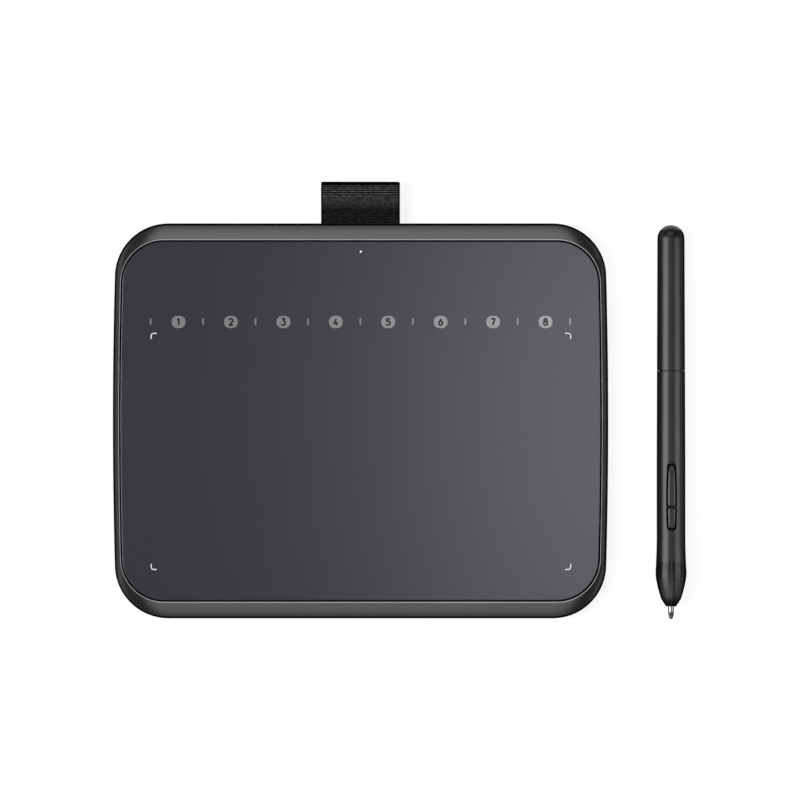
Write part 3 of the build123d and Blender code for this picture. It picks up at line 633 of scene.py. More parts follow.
def caseRows():
    # From the middle of the recess, over lip, band, dark edge and skirt, to the middle of the plate's
    # underside. The band at share s is in by s * band and up by rise * (s + 4 bulge s (1 - s)).
    inset = caseInset
    radius = case["cornerRadius"] - inset
    strip, drop = case["edgeStrip"]
    foot = np.array([inset + strip, inset + strip, radius - strip])
    share = np.linspace(1, 0, 15)
    rise = share + 4 * case["bulge"] * share * (1 - share)
    plan = foot + share[:, None] * (lipPlan - foot)
    height = case["edgeZ"] + (case["lipZ"] - case["edgeZ"]) * rise
    band = np.column_stack([0 * share, plan, height, 0 * share])
    band[0, 0], band[-1, 0] = 0.04, 0.08
    lipIn, lipFlat = lipPlan + lipOffset(case["lipWidth"]), lipPlan + lipOffset(case["lipFlat"])
    wall = (inset + case["wallSide"], inset + case["wallEnd"], case["cornerRadius"] - case["wallEnd"])
    return [
        *((0, *lipIn, case["recessZ"], reach * k) for k in (1, 0.5, 0)),
        (0.05, *lipIn, case["lipZ"] - 0.25, 0),
        (0.03, *lipFlat, case["lipZ"], 0),
        *band,
        (0.35, inset, inset, radius, case["edgeZ"] - drop, 0),
        (0.1, inset, inset, radius, tablet["partingZ"], 0),
        (0, *wall, tablet["partingZ"], 0),
        (0.3, *wall, case["plateZ"], 0),
        *((0, *wall, case["plateZ"], reach * k) for k in (0.5, 1)),
    ]


def slotLine(width, height, rounding, count=10):
    # Closed rectangle with rounded corners: quarter circles of the rounding about the four corner centres.
    def line(grow):
        radius = rounding + grow
        a = np.linspace(0, math.pi / 2, count)
        turn = np.concatenate([a, a + math.pi / 2, a + math.pi, a + 1.5 * math.pi])
        cx = np.repeat([1, -1, -1, 1], count) * (width / 2 - rounding)
        cy = np.repeat([1, 1, -1, -1], count) * (height / 2 - rounding)
        return np.stack([cx + radius * np.cos(turn), cy + radius * np.sin(turn)], 1)
    return line


def facingRear(rings, x=case["socketX"]):
    # rings drawn in X and Y and stacked in Z are stood up to face the rear
    return np.stack([rings[..., 0] + x, rings[..., 2], rings[..., 1] + case["holesZ"]], -1)


def rearHole(width, height, rounding, x):
    # Cutter through the rear wall: the slot's outline, flared at 45 degrees where it meets the outside.
    face, flare = tablet["depth"] / 2 - caseInset, case["holeChamfer"]
    levels = [(flare + 0.2, face + 0.2), (0, face - flare), (0, face - case["holeDepth"])]
    return ringsMesh(facingRear(loopRings(slotLine(width, height, rounding), levels), x))


def makeCase():
    holes = rearHole(*case["loopHole"], 0), rearHole(*case["socketHole"], case["socketX"])
    mesh = cutFrom(tabletMesh(caseRows()), *holes)
    addPiece("upperCase", mesh, "casePaint", "tablet", ["top_case"])
    centre, normal = faceFacts(mesh)
    outward = (normal[:, :2] * (centre[:, :2] - tablet["middle"])).sum(1)
    z, up = centre[:, 2], normal[:, 2]
    # the lip's flat top gets the pale painted highlight
    isLip = (z > case["lipZ"] - 0.02) & (up > 0.99)
    # the recess, the groove and the lip's inner roll get the black painted shade
    isInside = (z > case["edgeZ"] + 0.4) & ~isLip & ((outward < 0) | (up > 0.999) | (up < -0.9))
    # the side and the rolled edge below the band get the darker copy of the case paint, a painted shade
    isSide = z < case["edgeZ"] - 0.03
    paintFaces(mesh, {"lipPaintedHighlight": isLip, "paintedShadeBlack": isInside, "casePaintShadedSide": isSide})


film = {"gap": 0.55, "bottomZ": 8.3, "edge": 0.12}


def makeFilm():
    # The film's outline at its top and bottom, its rim rounded, closed towards the middle by scaling.
    plan = lipPlan + lipOffset([width + film["gap"] for width in case["lipWidth"]])
    top, bottom = tablet["filmTop"], film["bottomZ"]
    rows = [(0, *plan, top, reach * k) for k in (1, 0.8, 0.6, 0.4, 0.2, 0.05, 0.006)]
    rows += [(film["edge"], *plan, top, 0), (0.05, *plan, bottom, 0), (0, *plan, bottom, reach)]
    mesh = tabletMesh(rows)
    addPiece("drawingFilm", mesh, "drawFilm", "tablet", ["work_surface"])
    centre, normal = faceFacts(mesh)
    # the rounded rim gets the pale painted highlight
    isRim = (normal[:, 2] < 0.98) & (normal[:, 2] > 0.05)
    # the film's wall down in the groove gets the black painted shade
    isWall = (normal[:, 2] <= 0.05) & (centre[:, 2] > bottom - 0.1)
    paintFaces(mesh, {"filmRimHighlight": isRim, "paintedShadeBlack": isWall})


base = {
    "bottomZ": 0.6, "floorZ": 1.8, "rimZ": 3.4, "rounding": 1.3, "rimGap": 0.15, "rimThickness": 1.0,
    "footSunk": 0.6,
}
foot = {
    "length": 24.0, "width": 9.0, "gap": 0.15, "edge": 0.35, "flat": 2.5,
    "places": {
        "foot_front_left": (-74, -64), "foot_rear_left": (-74, 64),
        "foot_front_right": (74, -64), "foot_rear_right": (74, 64),
    },
}
footLine = slotLine(foot["length"], foot["width"], foot["width"] / 2 - hair, 14)


def makeBase():
    # Rows from the middle of the underside, round the lower edge, over the parting face and the rim inside
    # the case, to the middle of the inner floor.
    radius = case["cornerRadius"]
    side = caseInset + case["wallSide"] + base["rimGap"]
    end = caseInset + case["wallEnd"] + base["rimGap"]
    t = base["rimThickness"]
    outer, inner = (side, end, radius - end), (side + t, end + t, radius - end - t)
    bottom, low = base["bottomZ"], base["rounding"]
    blank = tabletMesh([
        (0, low, low, radius - low, bottom, reach),
        (0, low, low, radius - low, bottom, 3),
        (0.4, low, low, radius - low, bottom, 0),
        (0.35, 0.1, 0.1, radius - 0.1, bottom + low - 0.15, 0),
        (0.08, 0, 0, radius, tablet["partingZ"], 0),
        (0, *outer, tablet["partingZ"], 0),
        (0.2, *outer, base["rimZ"], 0),
        (0.2, *inner, base["rimZ"], 0),
        (0, *inner, base["floorZ"], 0),
        (0, *inner, base["floorZ"], reach),
    ])
    gap = foot["gap"]
    levels = [(gap + 0.3, bottom - 0.2), (gap, bottom + 0.1), (gap, bottom + base["footSunk"])]
    holes = [ringsMesh(loopRings(footLine, levels) + (x, y, 0)) for x, y in foot["places"].values()]
    mesh = cutFrom(blank, *holes)
    addPiece("lowerCase", mesh, "basePlastic", "tablet", ["bottom_cover"])
    centre, normal = faceFacts(mesh)
    # the ledge at the parting line and the rim get the black painted shade
    paintFaces(mesh, {"paintedShadeBlack": (normal[:, 2] > 0.5) & (centre[:, 2] > 2.0)})


def makeFeet():
    e = foot["edge"]
    roll = [(-e * (1 - math.sin(k)), e * (1 - math.cos(k))) for k in np.linspace(0, math.pi / 2, 6)]
    rings = loopRings(footLine, [(-foot["flat"], 0.0), *roll, (0, base["bottomZ"] + base["footSunk"])])
    for nodeName, (x, y) in foot["places"].items():
        label = nodeName.title().replace("_", "").replace("Foot", "foot")
        addPiece(label, ringsMesh(rings + (x, y, 0)), "footRubber", "tablet", [nodeName])


makeCase()
makeFilm()
makeBase()
makeFeet()
print("case, film, base and feet made")

prints = {
    "keyRow": 37.61,          # the keys' line behind the tablet's centre
    "keyShift": 0.61,
    "keyPitch": 19.922,
    "padSize": (5.2, 4.65),
    "padRounding": 2.15,
    "tickRow": 37.75,
    "tickShift": -0.01,
    "tickSize": (0.6, 2.4),
    "tickRounding": 0.15,
    "digitSize": (2.16, 3.06),
    "digitStroke": 0.62,
    "digitLift": 0.006,
    "strokeLift": 0.002,
    "thickness": 0.012,
    "sunk": 0.02,             # how far the ink reaches into the film
    "marksX": 79.71,
    "marksShift": 0.17,
    "marksY": (33.3, -56.45),
    "markLeg": 2.35,
    "markStroke": 0.40,
    "markRounding": (1.4, 0.85),
    "lightPlace": (0.12, 64.35),
    "lightSize": (0.72, 0.56),
    "lightRounding": 0.27,
    "lightFoot": 7.7,
}


def printed(line):
    top = tablet["filmTop"]
    return np.stack([atHeight(line, top - prints["sunk"]), atHeight(line, top + prints["thickness"])])


def makePrints():
    pitch = prints["keyPitch"]
    pad = slotLine(*prints["padSize"], prints["padRounding"], 12)(0)
    tick = slotLine(*prints["tickSize"], prints["tickRounding"], 4)(0)
    pads = [printed(pad + ((k - 3.5) * pitch + prints["keyShift"], prints["keyRow"])) for k in range(8)]
    ticks = [printed(tick + ((k - 4) * pitch + prints["tickShift"], prints["tickRow"])) for k in range(9)]
    addPiece("keyPads", joinedMesh(pads), "printInk", "tablet")
    addPiece("keyTicks", joinedMesh(ticks), "printInk", "tablet")
    # each mark is an L with a rounded outer corner and a smaller inner one, as one closed line
    leg, w = prints["markLeg"], prints["markStroke"]
    roundOuter, roundInner = prints["markRounding"]
    outer = softLine([(0, 0, -leg), (roundOuter, 0, 0), (0, leg, 0)], 10)
    inner = softLine([(0, leg, -w), (roundInner, w, -w), (0, w, -leg)], 10)
    line = np.concatenate([outer, inner])
    marks = []
    for sideX in (-1, 1):
        for y in prints["marksY"]:
            sideY = 1 if y > 0 else -1
            x = sideX * (prints["marksX"] + w / 2 - line[:, 0]) + prints["marksShift"]
            shape = np.stack([x, y + sideY * (w / 2 + line[:, 1])], 1)
            marks.append(printed(shape[:: sideX * sideY]))
    addPiece("cornerMarks", joinedMesh(marks), "markInk", "tablet")


def arcLine(cx, cy, rx, ry, start, end, count=18):
    # centre + (rx cos a, ry sin a) from the start angle to the end angle, in degrees
    a = np.radians(np.linspace(start, end, count))
    return np.stack([cx + rx * np.cos(a), cy + ry * np.sin(a)], 1)


def digitLines():
    # middle lines of the strokes of 1 to 8 in a field one wide and one high
    line = lambda *points: np.array(points, float)
    return [
        [line((0.18, 0.80), (0.56, 1.0), (0.56, 0.0))],
        [np.array([*arcLine(0.5, 0.72, 0.46, 0.28, 170, -38), (0.05, 0.0)]), line((0.0, 0.0), (1.0, 0.0))],
        [line((0.06, 1.0), (0.90, 1.0), (0.44, 0.60)), arcLine(0.46, 0.31, 0.50, 0.31, 98, -155)],
        [line((0.60, 1.0), (0.0, 0.24), (1.0, 0.24)), line((0.72, 0.50), (0.72, 0.0))],
        [line((0.90, 1.0), (0.16, 1.0), (0.08, 0.55)), arcLine(0.46, 0.32, 0.50, 0.32, 142, -155)],
        [arcLine(0.5, 0.31, 0.46, 0.31, 0, 360, 30), line((0.66, 1.0), (0.10, 0.46))],
        [line((0.0, 1.0), (0.98, 1.0), (0.36, 0.0))],
        [arcLine(0.5, 0.77, 0.36, 0.23, 0, 360, 26), arcLine(0.5, 0.29, 0.46, 0.29, 0, 360, 30)],
    ]


def strokeRings(middle, half, low, high):
    # a flat ribbon: the middle line moved to both sides by half its width along its normals, at two heights
    step = np.gradient(middle, axis=0)
    if np.allclose(middle[0], middle[-1]):
        step[0] = step[-1] = middle[1] - middle[-2]
    step = step / np.linalg.norm(step, axis=1, keepdims=True)
    side = np.stack([-step[:, 1], step[:, 0]], 1) * half
    corners = [(1, high), (-1, high), (-1, low), (1, low)]
    return np.stack([atHeight(middle + way * side, z) for way, z in corners], 1)


def makeDigits():
    # the numbers are thin dark strokes on the pads, each a little above the last; their bends are rounded
    half = prints["digitStroke"] / 2
    field = np.array(prints["digitSize"]) - 2 * half
    top = tablet["filmTop"]
    for k, lines in enumerate(digitLines()):
        place = ((k - 3.5) * prints["keyPitch"] + prints["keyShift"], prints["keyRow"])
        strokes = []
        for order, points in enumerate(lines):
            middle = (points - 0.5) * field
            if len(middle) < 6:
                middle = softLine([(half * 0.8, *point) for point in middle], 7)
            high = top + prints["thickness"] + prints["digitLift"] + prints["strokeLift"] * order
            strokes.append(strokeRings(middle + place, half, top - prints["sunk"], high))
        mesh = joinedMesh(strokes)
        addPiece(f"digit{k + 1}", mesh, "digitInk", "tablet")
        mesh.polygons.foreach_set("use_smooth", np.zeros(len(mesh.polygons), bool))


def makeStatusLight():
    mat = finish("lightWhite", colour=(0.8, 0.8, 0.82), roughness=0.3, glow=1)
    shaderIn(mat, "Emission Strength", spread(mat, grains(mat, 0.2), 0.55, 0.75))
    looks["lightWhite"] = mat
    top = tablet["filmTop"]
    dot = slotLine(*prints["lightSize"], prints["lightRounding"], 8)
    rings = loopRings(dot, [(0, prints["lightFoot"]), (0, top + 0.01), (-0.1, top + 0.03)])
    mesh = ringsMesh(rings + (*prints["lightPlace"], 0))
    addPiece("statusLight", mesh, "lightWhite", "tablet", ["light_pipe"])


makePrints()
makeDigits()
makeStatusLight()
print("prints and status light made")

socket = {
    "width": 8.94, "height": 3.26, "wall": 0.28, "mouth": 74.6, "length": 7.35, "lip": 0.09,
    "block": 1.6, "tongue": (6.7, 0.7), "tongueLength": 4.7,
    "contacts": 12, "contactPitch": 0.5, "contactSize": (0.26, 3.4), "contactProud": 0.02,
}


def makeSocket():
    # shell: one outline carried from the back along the outside, round the rolled mouth and back inside
    width, height, wall, mouth, lip = (socket[key] for key in ("width", "height", "wall", "mouth", "lip"))
    back = mouth - socket["length"]
    outline = slotLine(width, height, height / 2 - hair, 20)
    a = np.linspace(0, math.pi / 2, 5)
    roll = [(-lip * (1 - math.cos(k)), mouth - lip * (1 - math.sin(k))) for k in a]
    rollIn = [(-wall + lip * (1 - math.sin(k)), mouth - lip * (1 - math.cos(k))) for k in a]
    levels = [(-0.15, back), (0, back + 0.15), *roll, *rollIn, (-wall, back + wall)]
    shell = ringsMesh(facingRear(loopRings(outline, levels)))
    addPiece("socketShell", shell, "socketSteel", "tablet", ["usb_shell"])
    # moulding: the block at the back, stepped down to the tongue with its rounded front
    start = back + wall
    step = start + socket["block"]
    end = step + socket["tongueLength"]
    inner = slotLine(width - 2 * wall, height - 2 * wall, height / 2 - wall - hair, 20)
    block = loopRings(inner, [(0, start), (0, step - 0.1), (-0.1, step)])
    tongueWidth, thick = socket["tongue"]
    levels = [(0, step - 0.05), (0, end - 0.12), (-0.04, end - 0.03), (-0.11, end)]
    tongue = loopRings(slotLine(tongueWidth, thick, 0.12, 6), levels)
    moulding = joinedMesh([facingRear(block), facingRear(tongue)])
    addPiece("socketTongue", moulding, "socketBlack", "tablet", ["usb_tongue"])
    contactWidth, contactLength = socket["contactSize"]
    near, far = end - 0.35, end - 0.35 - contactLength
    levels = [(-0.03, far), (0, far + 0.05), (0, near - 0.07), (-0.03, near)]
    strip = loopRings(slotLine(contactWidth, 0.1, 0.04, 3), levels)
    strips = []
    for k in range(socket["contacts"]):
        x = (k - (socket["contacts"] - 1) / 2) * socket["contactPitch"]
        for side in (-1, 1):
            strips.append(facingRear(strip + (x, side * (thick / 2 + socket["contactProud"] - 0.05), 0)))
    addPiece("socketContacts", joinedMesh(strips), "contactGold", "tablet")


makeSocket()
print("socket made")

barrel = {
    "nose": (1.95, 4.9),
    "coneFoot": (3.75, 7.7),
    "coneMiddle": (5.13, 12.45),
    "gripMiddle": (5.585, 24.4),
    "noseBore": 1.35,
    "coilBore": (3.05, 8.3),
    "wideBore": (4.41, 16.5),
    "seamChamfer": 0.07,
    "seamGap": 0.1,
    "spigot": (4.236, 101.5),
    "spigotBore": 3.336,
    "spigotRoot": 2.0,
    "ridgeRounding": 1.2,
    "ridgeClear": 1.4,
    "noseEnd": 4.5,        # how far the nose's finish goes past the ridge
    "tailWall": 1.05,
    "columns": 144,
}
slot = {
    "front": 34.05, "rear": 59.1, "middle": 47.0,
    "halfFront": 1.72, "halfMiddle": 2.02, "halfRear": 1.58, "roundFront": 1.15, "roundRear": 0.6,
    "floor": 3.46, "chamfer": 0.1,
}


def bodyRadius(y):
    # waist + (tail - waist) * (y - taper start) / (tail - taper start)
    (waist, _), (tail, tailAt) = pen["waist"], pen["tail"]
    return waist + (tail - waist) * (y - pen["taperAt"]) / (tailAt - pen["taperAt"])


def slotHalf(y):
    # Half width of the slot: the circle through its front, middle and rear half widths.
    front, rear = (slot["front"], slot["halfFront"]), (slot["rear"], slot["halfRear"])
    line = arcThrough(front, (slot["middle"], slot["halfMiddle"]), rear, 60)
    return np.interp(y, line[:, 0], line[:, 1])


def slotPlan(front, rear, roundFront, roundRear, inset, bowed=0.22):
    # closed line of (x, y) between two distances along the pen, its sides at the slot's half width less
    # inset, and its front end bowed out
    y = np.linspace(front, rear, 9)
    right = np.stack([np.full(9, (rear - front) / 18.5), slotHalf(y) - inset, y], 1)
    for end, near, rounding in ((0, 1, roundFront), (-1, -2, roundRear)):
        right[end, 0] = rounding
        right[near, 0] = min((rear - front) / 8 - rounding, right[near, 0]) * 0.9
    right[:, 0] = np.maximum(right[:, 0], 0.02)
    return softLine([*right, *(right[::-1] * (1, -1, 1)), (0.4, 0, front - bowed)], 9, closed=True)


def makeBarrel():
    # Outer line from the nose over cone, ridge, grip and body to the seam, then the spigot and the bores
    # back.
    (waist, waistAt), (ridge, ridgeAt) = pen["waist"], pen["ridge"]
    seam, c = pen["seamAt"], barrel["seamChamfer"]
    plain = lambda line: np.insert(line, 0, 0, 1)
    # the ridge is rounded, so the points near it are left out
    clear = lambda line: line[np.abs(line[:, 1] - ridgeAt) > barrel["ridgeClear"]]
    cone = arcThrough(barrel["coneFoot"], barrel["coneMiddle"], (ridge, ridgeAt), 22)
    grip = arcThrough((ridge, ridgeAt), barrel["gripMiddle"], (waist, waistAt), 22)
    body = np.linspace(waistAt, pen["taperAt"], 30)[1:]
    taper = np.linspace(pen["taperAt"], seam - c, 30)[1:]
    outer = [
        (0.12, *barrel["nose"]), (0.15, *barrel["coneFoot"]),
        *plain(clear(cone)[1:]), (barrel["ridgeRounding"], ridge, ridgeAt),
        *plain(clear(grip)[:-1]), (0.5, waist, waistAt),
        *plain(np.stack([0 * body + waist, body], 1)),
        *plain(np.stack([bodyRadius(taper), taper], 1)[:-1]),
        (0.05, bodyRadius(seam - c), seam - c), (0.05, bodyRadius(seam) - c, seam),
    ]
    (spigot, spigotEnd), spigotBore = barrel["spigot"], barrel["spigotBore"]
    (wide, wideAt), (coil, coilAt), nose = barrel["wideBore"], barrel["coilBore"], barrel["noseBore"]
    step = seam - barrel["spigotRoot"]
    inner = [
        (0, spigot, seam), (0.15, spigot, spigotEnd), (0.1, spigotBore, spigotEnd), (0, spigotBore, step),
        (0, wide, step), (0, wide, wideAt), (0, coil, wideAt), (0, coil, coilAt), (0, nose, coilAt),
        (0.12, nose, barrel["nose"][1]),
    ]
    line = softLine(outer + inner, closed=True)
    rows, columns = len(line), barrel["columns"]
    faces = gridFaces(rows + 1, columns) % (rows * columns)
    blank = meshOf(onPen(turnedRings(line, columns)), faces)
    plan = slotPlan(slot["front"], slot["rear"], slot["roundFront"], slot["roundRear"], 0)
    c = slot["chamfer"]
    chord = np.roll(plan, -1, 0) - np.roll(plan, 1, 0)
    outward = np.stack([chord[:, 1], -chord[:, 0]], 1) / np.linalg.norm(chord, axis=1, keepdims=True)

    def ring(grow, lift, level=None):
        # the slot's line moved out by grow, at lift above the round body or at a level
        moved = plan + grow * outward
        return atHeight(moved, np.sqrt(waist**2 - moved[:, 0] ** 2) + lift if level is None else level)

    over, rim = ring(c + 0.1, 0.1, waist + 1), ring(c + 0.1, 0.1)
    cutter = np.stack([over, rim, ring(0, -c), ring(0, 0, slot["floor"])])
    mesh = cutFrom(blank, ringsMesh(cutter, onPen))
    addPiece("penBarrel", mesh, "penBody", "pen", ["pen_barrel"], 30)
    centre, normal = faceFacts(mesh)
    x, y, z = (centre - (*pen["place"], penRise)).T
    # the slot's walls and the bore at the nib get the black painted shade
    inSlot = (np.abs(x) < 2.2) & (y > slot["front"] - 0.6) & (y < slot["rear"] + 0.4) & (z > 3)
    inMouth = (np.hypot(x, z) < 1.7) & (y < 6)
    isOutside = normal[:, 0] * x + normal[:, 2] * z > 0
    # the nose's outside gets the painted highlight and shade of penNose
    isNose = isOutside & (y > barrel["nose"][1] + 0.3) & (y < ridgeAt + barrel["noseEnd"])
    paintFaces(mesh, {"paintedShadeBlack": (inSlot & (np.abs(normal[:, 2]) < 0.4)) | inMouth, "penNose": isNose})


def makeTail():
    # Outer line from the seam to the end's half circle r = tail cos a, y = dome + tail sin a, then the bore.
    start, c = pen["seamAt"] + barrel["seamGap"], barrel["seamChamfer"]
    tail, domeAt = pen["tail"]
    y = np.linspace(start + c, domeAt, 30)[1:]
    a = np.linspace(0, math.pi / 2, 26)[1:]
    bore, boreEnd = bodyRadius(pen["seamAt"]) - barrel["tailWall"], domeAt - barrel["tailWall"]
    line = softLine([
        (0, bore, start), (0.05, bodyRadius(start) - c, start), (0.05, bodyRadius(start + c), start + c),
        *np.stack([0 * y, bodyRadius(y), y], 1),
        *np.stack([0 * a, tail * np.cos(a), domeAt + tail * np.sin(a)], 1),
    ], 5)
    mesh = turnedMesh(np.array([*line, (0, boreEnd), (bore, boreEnd), (bore, start)]), barrel["columns"])
    addPiece("penTail", mesh, "penBody", "pen", ["pen_tail"], 30)
    centre, normal = faceFacts(mesh)
    paintFaces(mesh, {"penEnd": (normal[:, 1] > 0.62) & (centre[:, 1] - pen["place"][1] > domeAt)})


nibShape = {"point": 0.75, "radius": 1.15, "taper": 2.2, "shoulder": 7.4, "shank": 0.95, "length": 20.0}


def makeNib():
    # Half circle at the tip, r = p cos a and y = p (1 - sin a), then the taper and the thinner shank.
    p, r, shank = nibShape["point"], nibShape["radius"], nibShape["shank"]
    shoulder, length = nibShape["shoulder"], nibShape["length"]
    lean = math.atan((r - p) / (nibShape["taper"] - p))
    a = np.linspace(math.pi / 2, lean, 14)
    line = softLine([
        *np.stack([0 * a, p * np.cos(a), p * (1 - np.sin(a))], 1), (0.8, r, nibShape["taper"]),
        (0.1, r, shoulder), (0.1, shank, shoulder + 0.3), (0.1, shank, length), (0, 0, length),
    ])
    addPiece("nibTip", turnedMesh(line, 64), "nibPlastic", "nib", ["nib"])


button = {
    "gap": 0.56, "top": 5.81, "flat": 0.84, "slope": 0.5, "bend": 0.006, "endRoll": 0.5, "endDrop": 0.3,
    "rimDrop": 0.12, "spineEnd": 0.9, "split": 42.7, "splitGap": 0.5,
    "flange": 0.9, "flangeTop": 3.43, "flangeThickness": 0.6,
    "rampLength": 2.3, "rampDrop": 1.1, "rampHalf": 0.98, "rampWall": 0.14,
}


def makeButton(name, front, rear, nodeName, ramp):
    # Cap with a flat middle and sloping sides: z = top - slope * (side + sqrt(side^2 + bend)) / 2 with
    # side = |x| - flat, rounded down at its ends and rim; the rear end of the upper one has a dip between its
    # sides. Its flange reaches under the barrel.
    rounds, bowed = ((0.2, 0.4), 0.0) if ramp else ((0.85, 0.2), 0.2)
    wide, flangeTop = button["flange"] - button["gap"], button["flangeTop"]
    plan = slotPlan(front, rear, *rounds, button["gap"], bowed)
    flange = slotPlan(front if ramp else front - wide, rear + wide if ramp else rear, *rounds, -wide, bowed)
    end = button["spineEnd"]
    spine = np.stack([0 * plan[:, 0], np.clip(plan[:, 1], front + end, rear - end)], 1)
    k = np.array([1, 0.985, 0.95, 0.9, 0.82, 0.74, 0.66, 0.6, 0.55, 0.5, 0.44, 0.3, 0.15, 0.0])[:, None, None]
    flat = spine + k * (plan - spine)
    x, y = flat[..., 0], flat[..., 1]
    side = np.abs(x) - button["flat"]
    z = button["top"] - button["slope"] * (side + np.sqrt(side**2 + button["bend"])) / 2
    for fromEnd in (y - front, rear - y):
        near = np.clip(1 - fromEnd / button["endRoll"], 0, 1)
        z = z - button["endDrop"] * (1 - np.sqrt(1 - 0.96 * near**2))
    if ramp:
        share = np.clip((y - rear + button["rampLength"]) / button["rampLength"], 0, 1)
        across = np.clip((button["rampHalf"] - np.abs(x)) / button["rampWall"], 0, 1)
        z = z - button["rampDrop"] * share**0.8 * across * across * (3 - 2 * across)
    z = z - button["rimDrop"] * np.clip((k[..., 0] - 0.9) / 0.1, 0, 1) ** 2
    rims = [(flange, flangeTop - button["flangeThickness"]), (flange, flangeTop), (flat[0], flangeTop)]
    rings = np.concatenate([[atHeight(line, level) for line, level in rims], np.stack([x, y, z], -1)])
    quads, caps = cappedFaces(rings)
    mesh = meshOf(onPen(rings), quads, caps[:1])
    addPiece(name, mesh, "buttonPlastic", nodeName, [nodeName], 45)
    centre, normal = faceFacts(mesh)
    isDip = ramp & (np.abs(centre[:, 0] - pen["place"][0]) < 0.85) & (normal[:, 1] > 0.2)
    # the button's sides and flange get the black painted shade of the gap
    paintFaces(mesh, {"paintedShadeBlack": (normal[:, 2] < 0.5) | (centre[:, 2] < penRise + 3.6), "penEnd": isDip})


makeBarrel()
makeTail()
makeNib()
half = button["splitGap"] / 2
makeButton("lowerButton", slot["front"] + button["gap"], button["split"] - half, "lower_button", False)
makeButton("upperButton", button["split"] + half, slot["rear"] - button["gap"], "upper_button", True)
print("pen made")

webbing = {
    "width": 30.0, "thickness": 0.9, "rib": 0.79, "ribDepth": 0.22,
    "start": 66.45, "mouth": 74.95, "level": 4.37, "plyOffset": 0.5,
    "centre": (86.6, 4.75), "radius": 4.0, "flare": 6.0, "selvedge": 0.7,
    "ribNarrow": 0.0012, "waver": 0.03,
    # the ribs are paler on top of the bend, a painted highlight: at the first line along Y they begin to be,
    # from the second to the third they are palest, and from the fourth on, on the far side, they are dark
    # again
    "bendHighlight": (80.3, 83.6, 89.0, 90.1),
    # the far fold, which faces away, is darkened with painted shade
    "fold": (89.7, 90.2),          # the ribs fade into the dark far fold between these lines
}


def webLine():
    # The webbing's middle line as (y, z): straight in the case, a soft bend at the slot, a line to its
    # tangent point on the loop's circle, round it, and back the same way below.
    (cy, cz), mouth, radius = webbing["centre"], webbing["mouth"], webbing["radius"]
    halves, turns = [], []
    for side in (1, -1):
        height = webbing["level"] + side * webbing["plyOffset"]
        span = math.hypot(cy - mouth, cz - height)
        angle = math.atan2(cz - height, cy - mouth) + side * math.asin(radius / span)
        length = math.sqrt(span**2 - radius**2)
        touch = (mouth + length * math.cos(angle), height + length * math.sin(angle))
        cut = webbing["flare"] * math.tan(abs(angle) / 2)
        halves.append(softLine([(0, webbing["start"], height), (cut, mouth, height), (0, *touch)], 12))
        turns.append(angle + side * math.pi / 2)
    turn = np.linspace(*turns, 60)[1:-1]
    bend = np.stack([cy + radius * np.cos(turn), cz + radius * np.sin(turn)], 1)
    return np.concatenate([halves[0], bend, halves[1][::-1]])


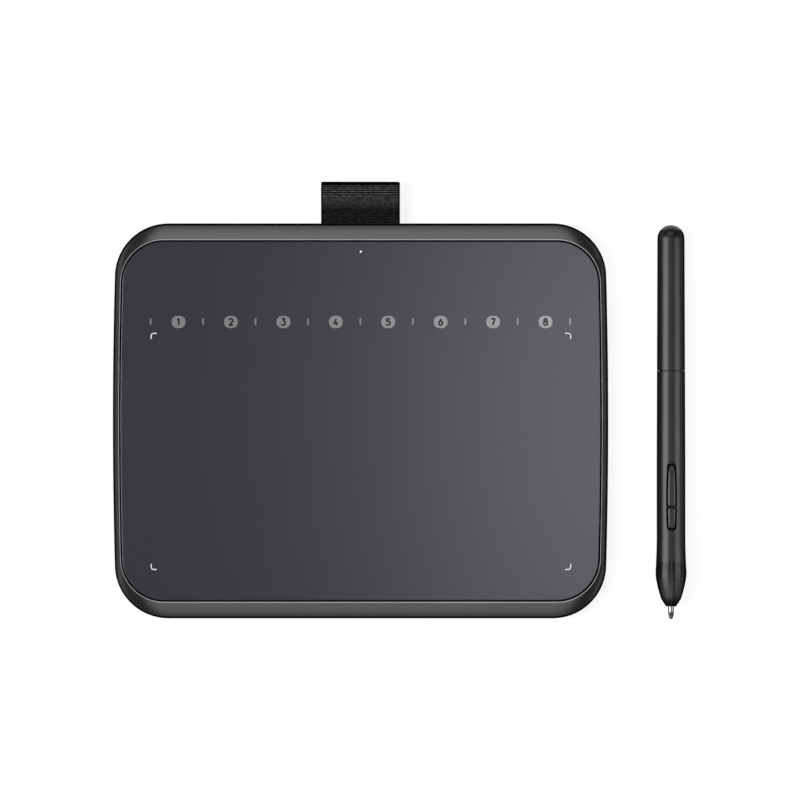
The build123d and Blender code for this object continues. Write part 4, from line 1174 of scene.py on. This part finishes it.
def makeWebbing():
    # Ribbed band: points line(s) + h(s, u) * normal, with ribs h = thickness / 2 - depth * (1 - |cos(pi s /
    # rib)|) over the width u, thinner at the two edges.
    line = webLine()
    run = np.concatenate([[0], np.cumsum(np.linalg.norm(np.diff(line, axis=0), axis=1))])
    length, width = run[-1], webbing["width"]
    s = np.linspace(0, length, int(length / webbing["rib"] * 9))
    y, z = np.interp(s, run, line[:, 0]), np.interp(s, run, line[:, 1])
    ty, tz = np.gradient(y, s), np.gradient(z, s)
    size = np.hypot(ty, tz)
    s, y, z, ny, nz = (row[:, None] for row in (s, y, z, -tz / size, ty / size))
    across = np.array([-1, -0.993, -0.975, -0.95, *np.linspace(-0.92, 0.92, 17), 0.95, 0.975, 0.993, 1])
    edge = np.sqrt(np.clip(1 - np.clip((np.abs(across) - 0.95) / 0.05, 0, 1) ** 2, 0, 1))
    rib = np.abs(np.cos(math.pi * s / webbing["rib"]))
    lift = (webbing["thickness"] / 2 - webbing["ribDepth"] * (1 - rib)) * edge
    x = across * width / 2 * (1 - webbing["ribNarrow"] * rib)
    waver = webbing["waver"] * np.sin(s * 0.9) * across**3
    top, under = (
        np.stack([x, y + ny * (side * lift + waver), z + nz * (side * lift + waver)], -1) for side in (1, -1))
    rings = np.concatenate([top, under[:, -2:0:-1]], 1)
    u = np.concatenate([x, x[:, -2:0:-1]], 1)
    uv = np.stack([u, s + 0 * u], -1) * mm
    selvedge = 1 - np.clip((np.abs(u) - width / 2 + webbing["selvedge"]) / 0.15, 0, 1)
    # the rib crowns are a painted highlight and the valleys a painted shade; past the fold lines the crowns
    # fade as painted shade
    crown = rib**2 * selvedge * np.interp(rings[..., 1], webbing["fold"], (1, 0.4))
    # paler over the bend: a painted highlight
    bendHighlight = np.interp(rings[..., 1], webbing["bendHighlight"], (0, 1, 1, 0))
    mesh = meshOf(onTablet(rings), *cappedFaces(rings), uv, {"crown": crown, "bendHighlight": bendHighlight})
    piece = addPiece("penLoop", mesh, "wovenBlack", "tablet", ["pen_loop"], 60)
    print("webbing is", round(length, 1), "mm long")


def webbingLook():
    # black ribbed webbing: warp yarns 0.7 mm apart along its length, a little fuzz; paler crowns on the ribs
    # as painted highlight and dark valleys as painted shade, all paler over the bend as painted highlight
    mat = finish("wovenBlack", roughness=0.8, specular=0, sheen=0.004, sheenRoughness=0.5)
    place = node(mat, "UVMap", uv_map="weaveMap").outputs[0]
    marks = (node(mat, "Attribute", attribute_name=name).outputs["Fac"] for name in ("crown", "bendHighlight"))
    crown, bendHighlight = marks
    yarns = bands(mat, place, 0.35, "X", Distortion=0.4, Detail=1.0)
    weave = product(mat, yarns, grains(mat, 0.4, 4.0))
    patches = spread(mat, grains(mat, 0.9, 4.0), 0.4, 1, 0.4, 0.6)
    tone = product(mat, spread(mat, weave, 0.5, 1, 0.1, 0.5), patches)
    tone = product(mat, tone, spread(mat, crown, 0, 1, 0.55, 0.8))
    # both tones are paler over the bend as painted highlight
    pale = twoTone(mat, bendHighlight, (0.050, 0.050, 0.0505), (0.16, 0.16, 0.161))
    black = twoTone(mat, bendHighlight, (0.0003, 0.0003, 0.0004), (0.003, 0.003, 0.0032))
    shaderIn(mat, "Base Color", twoTone(mat, tone, black, pale))
    shaderIn(mat, "Normal", raised(mat, weave, 0.05))
    return mat


looks["wovenBlack"] = webbingLook()
makeWebbing()
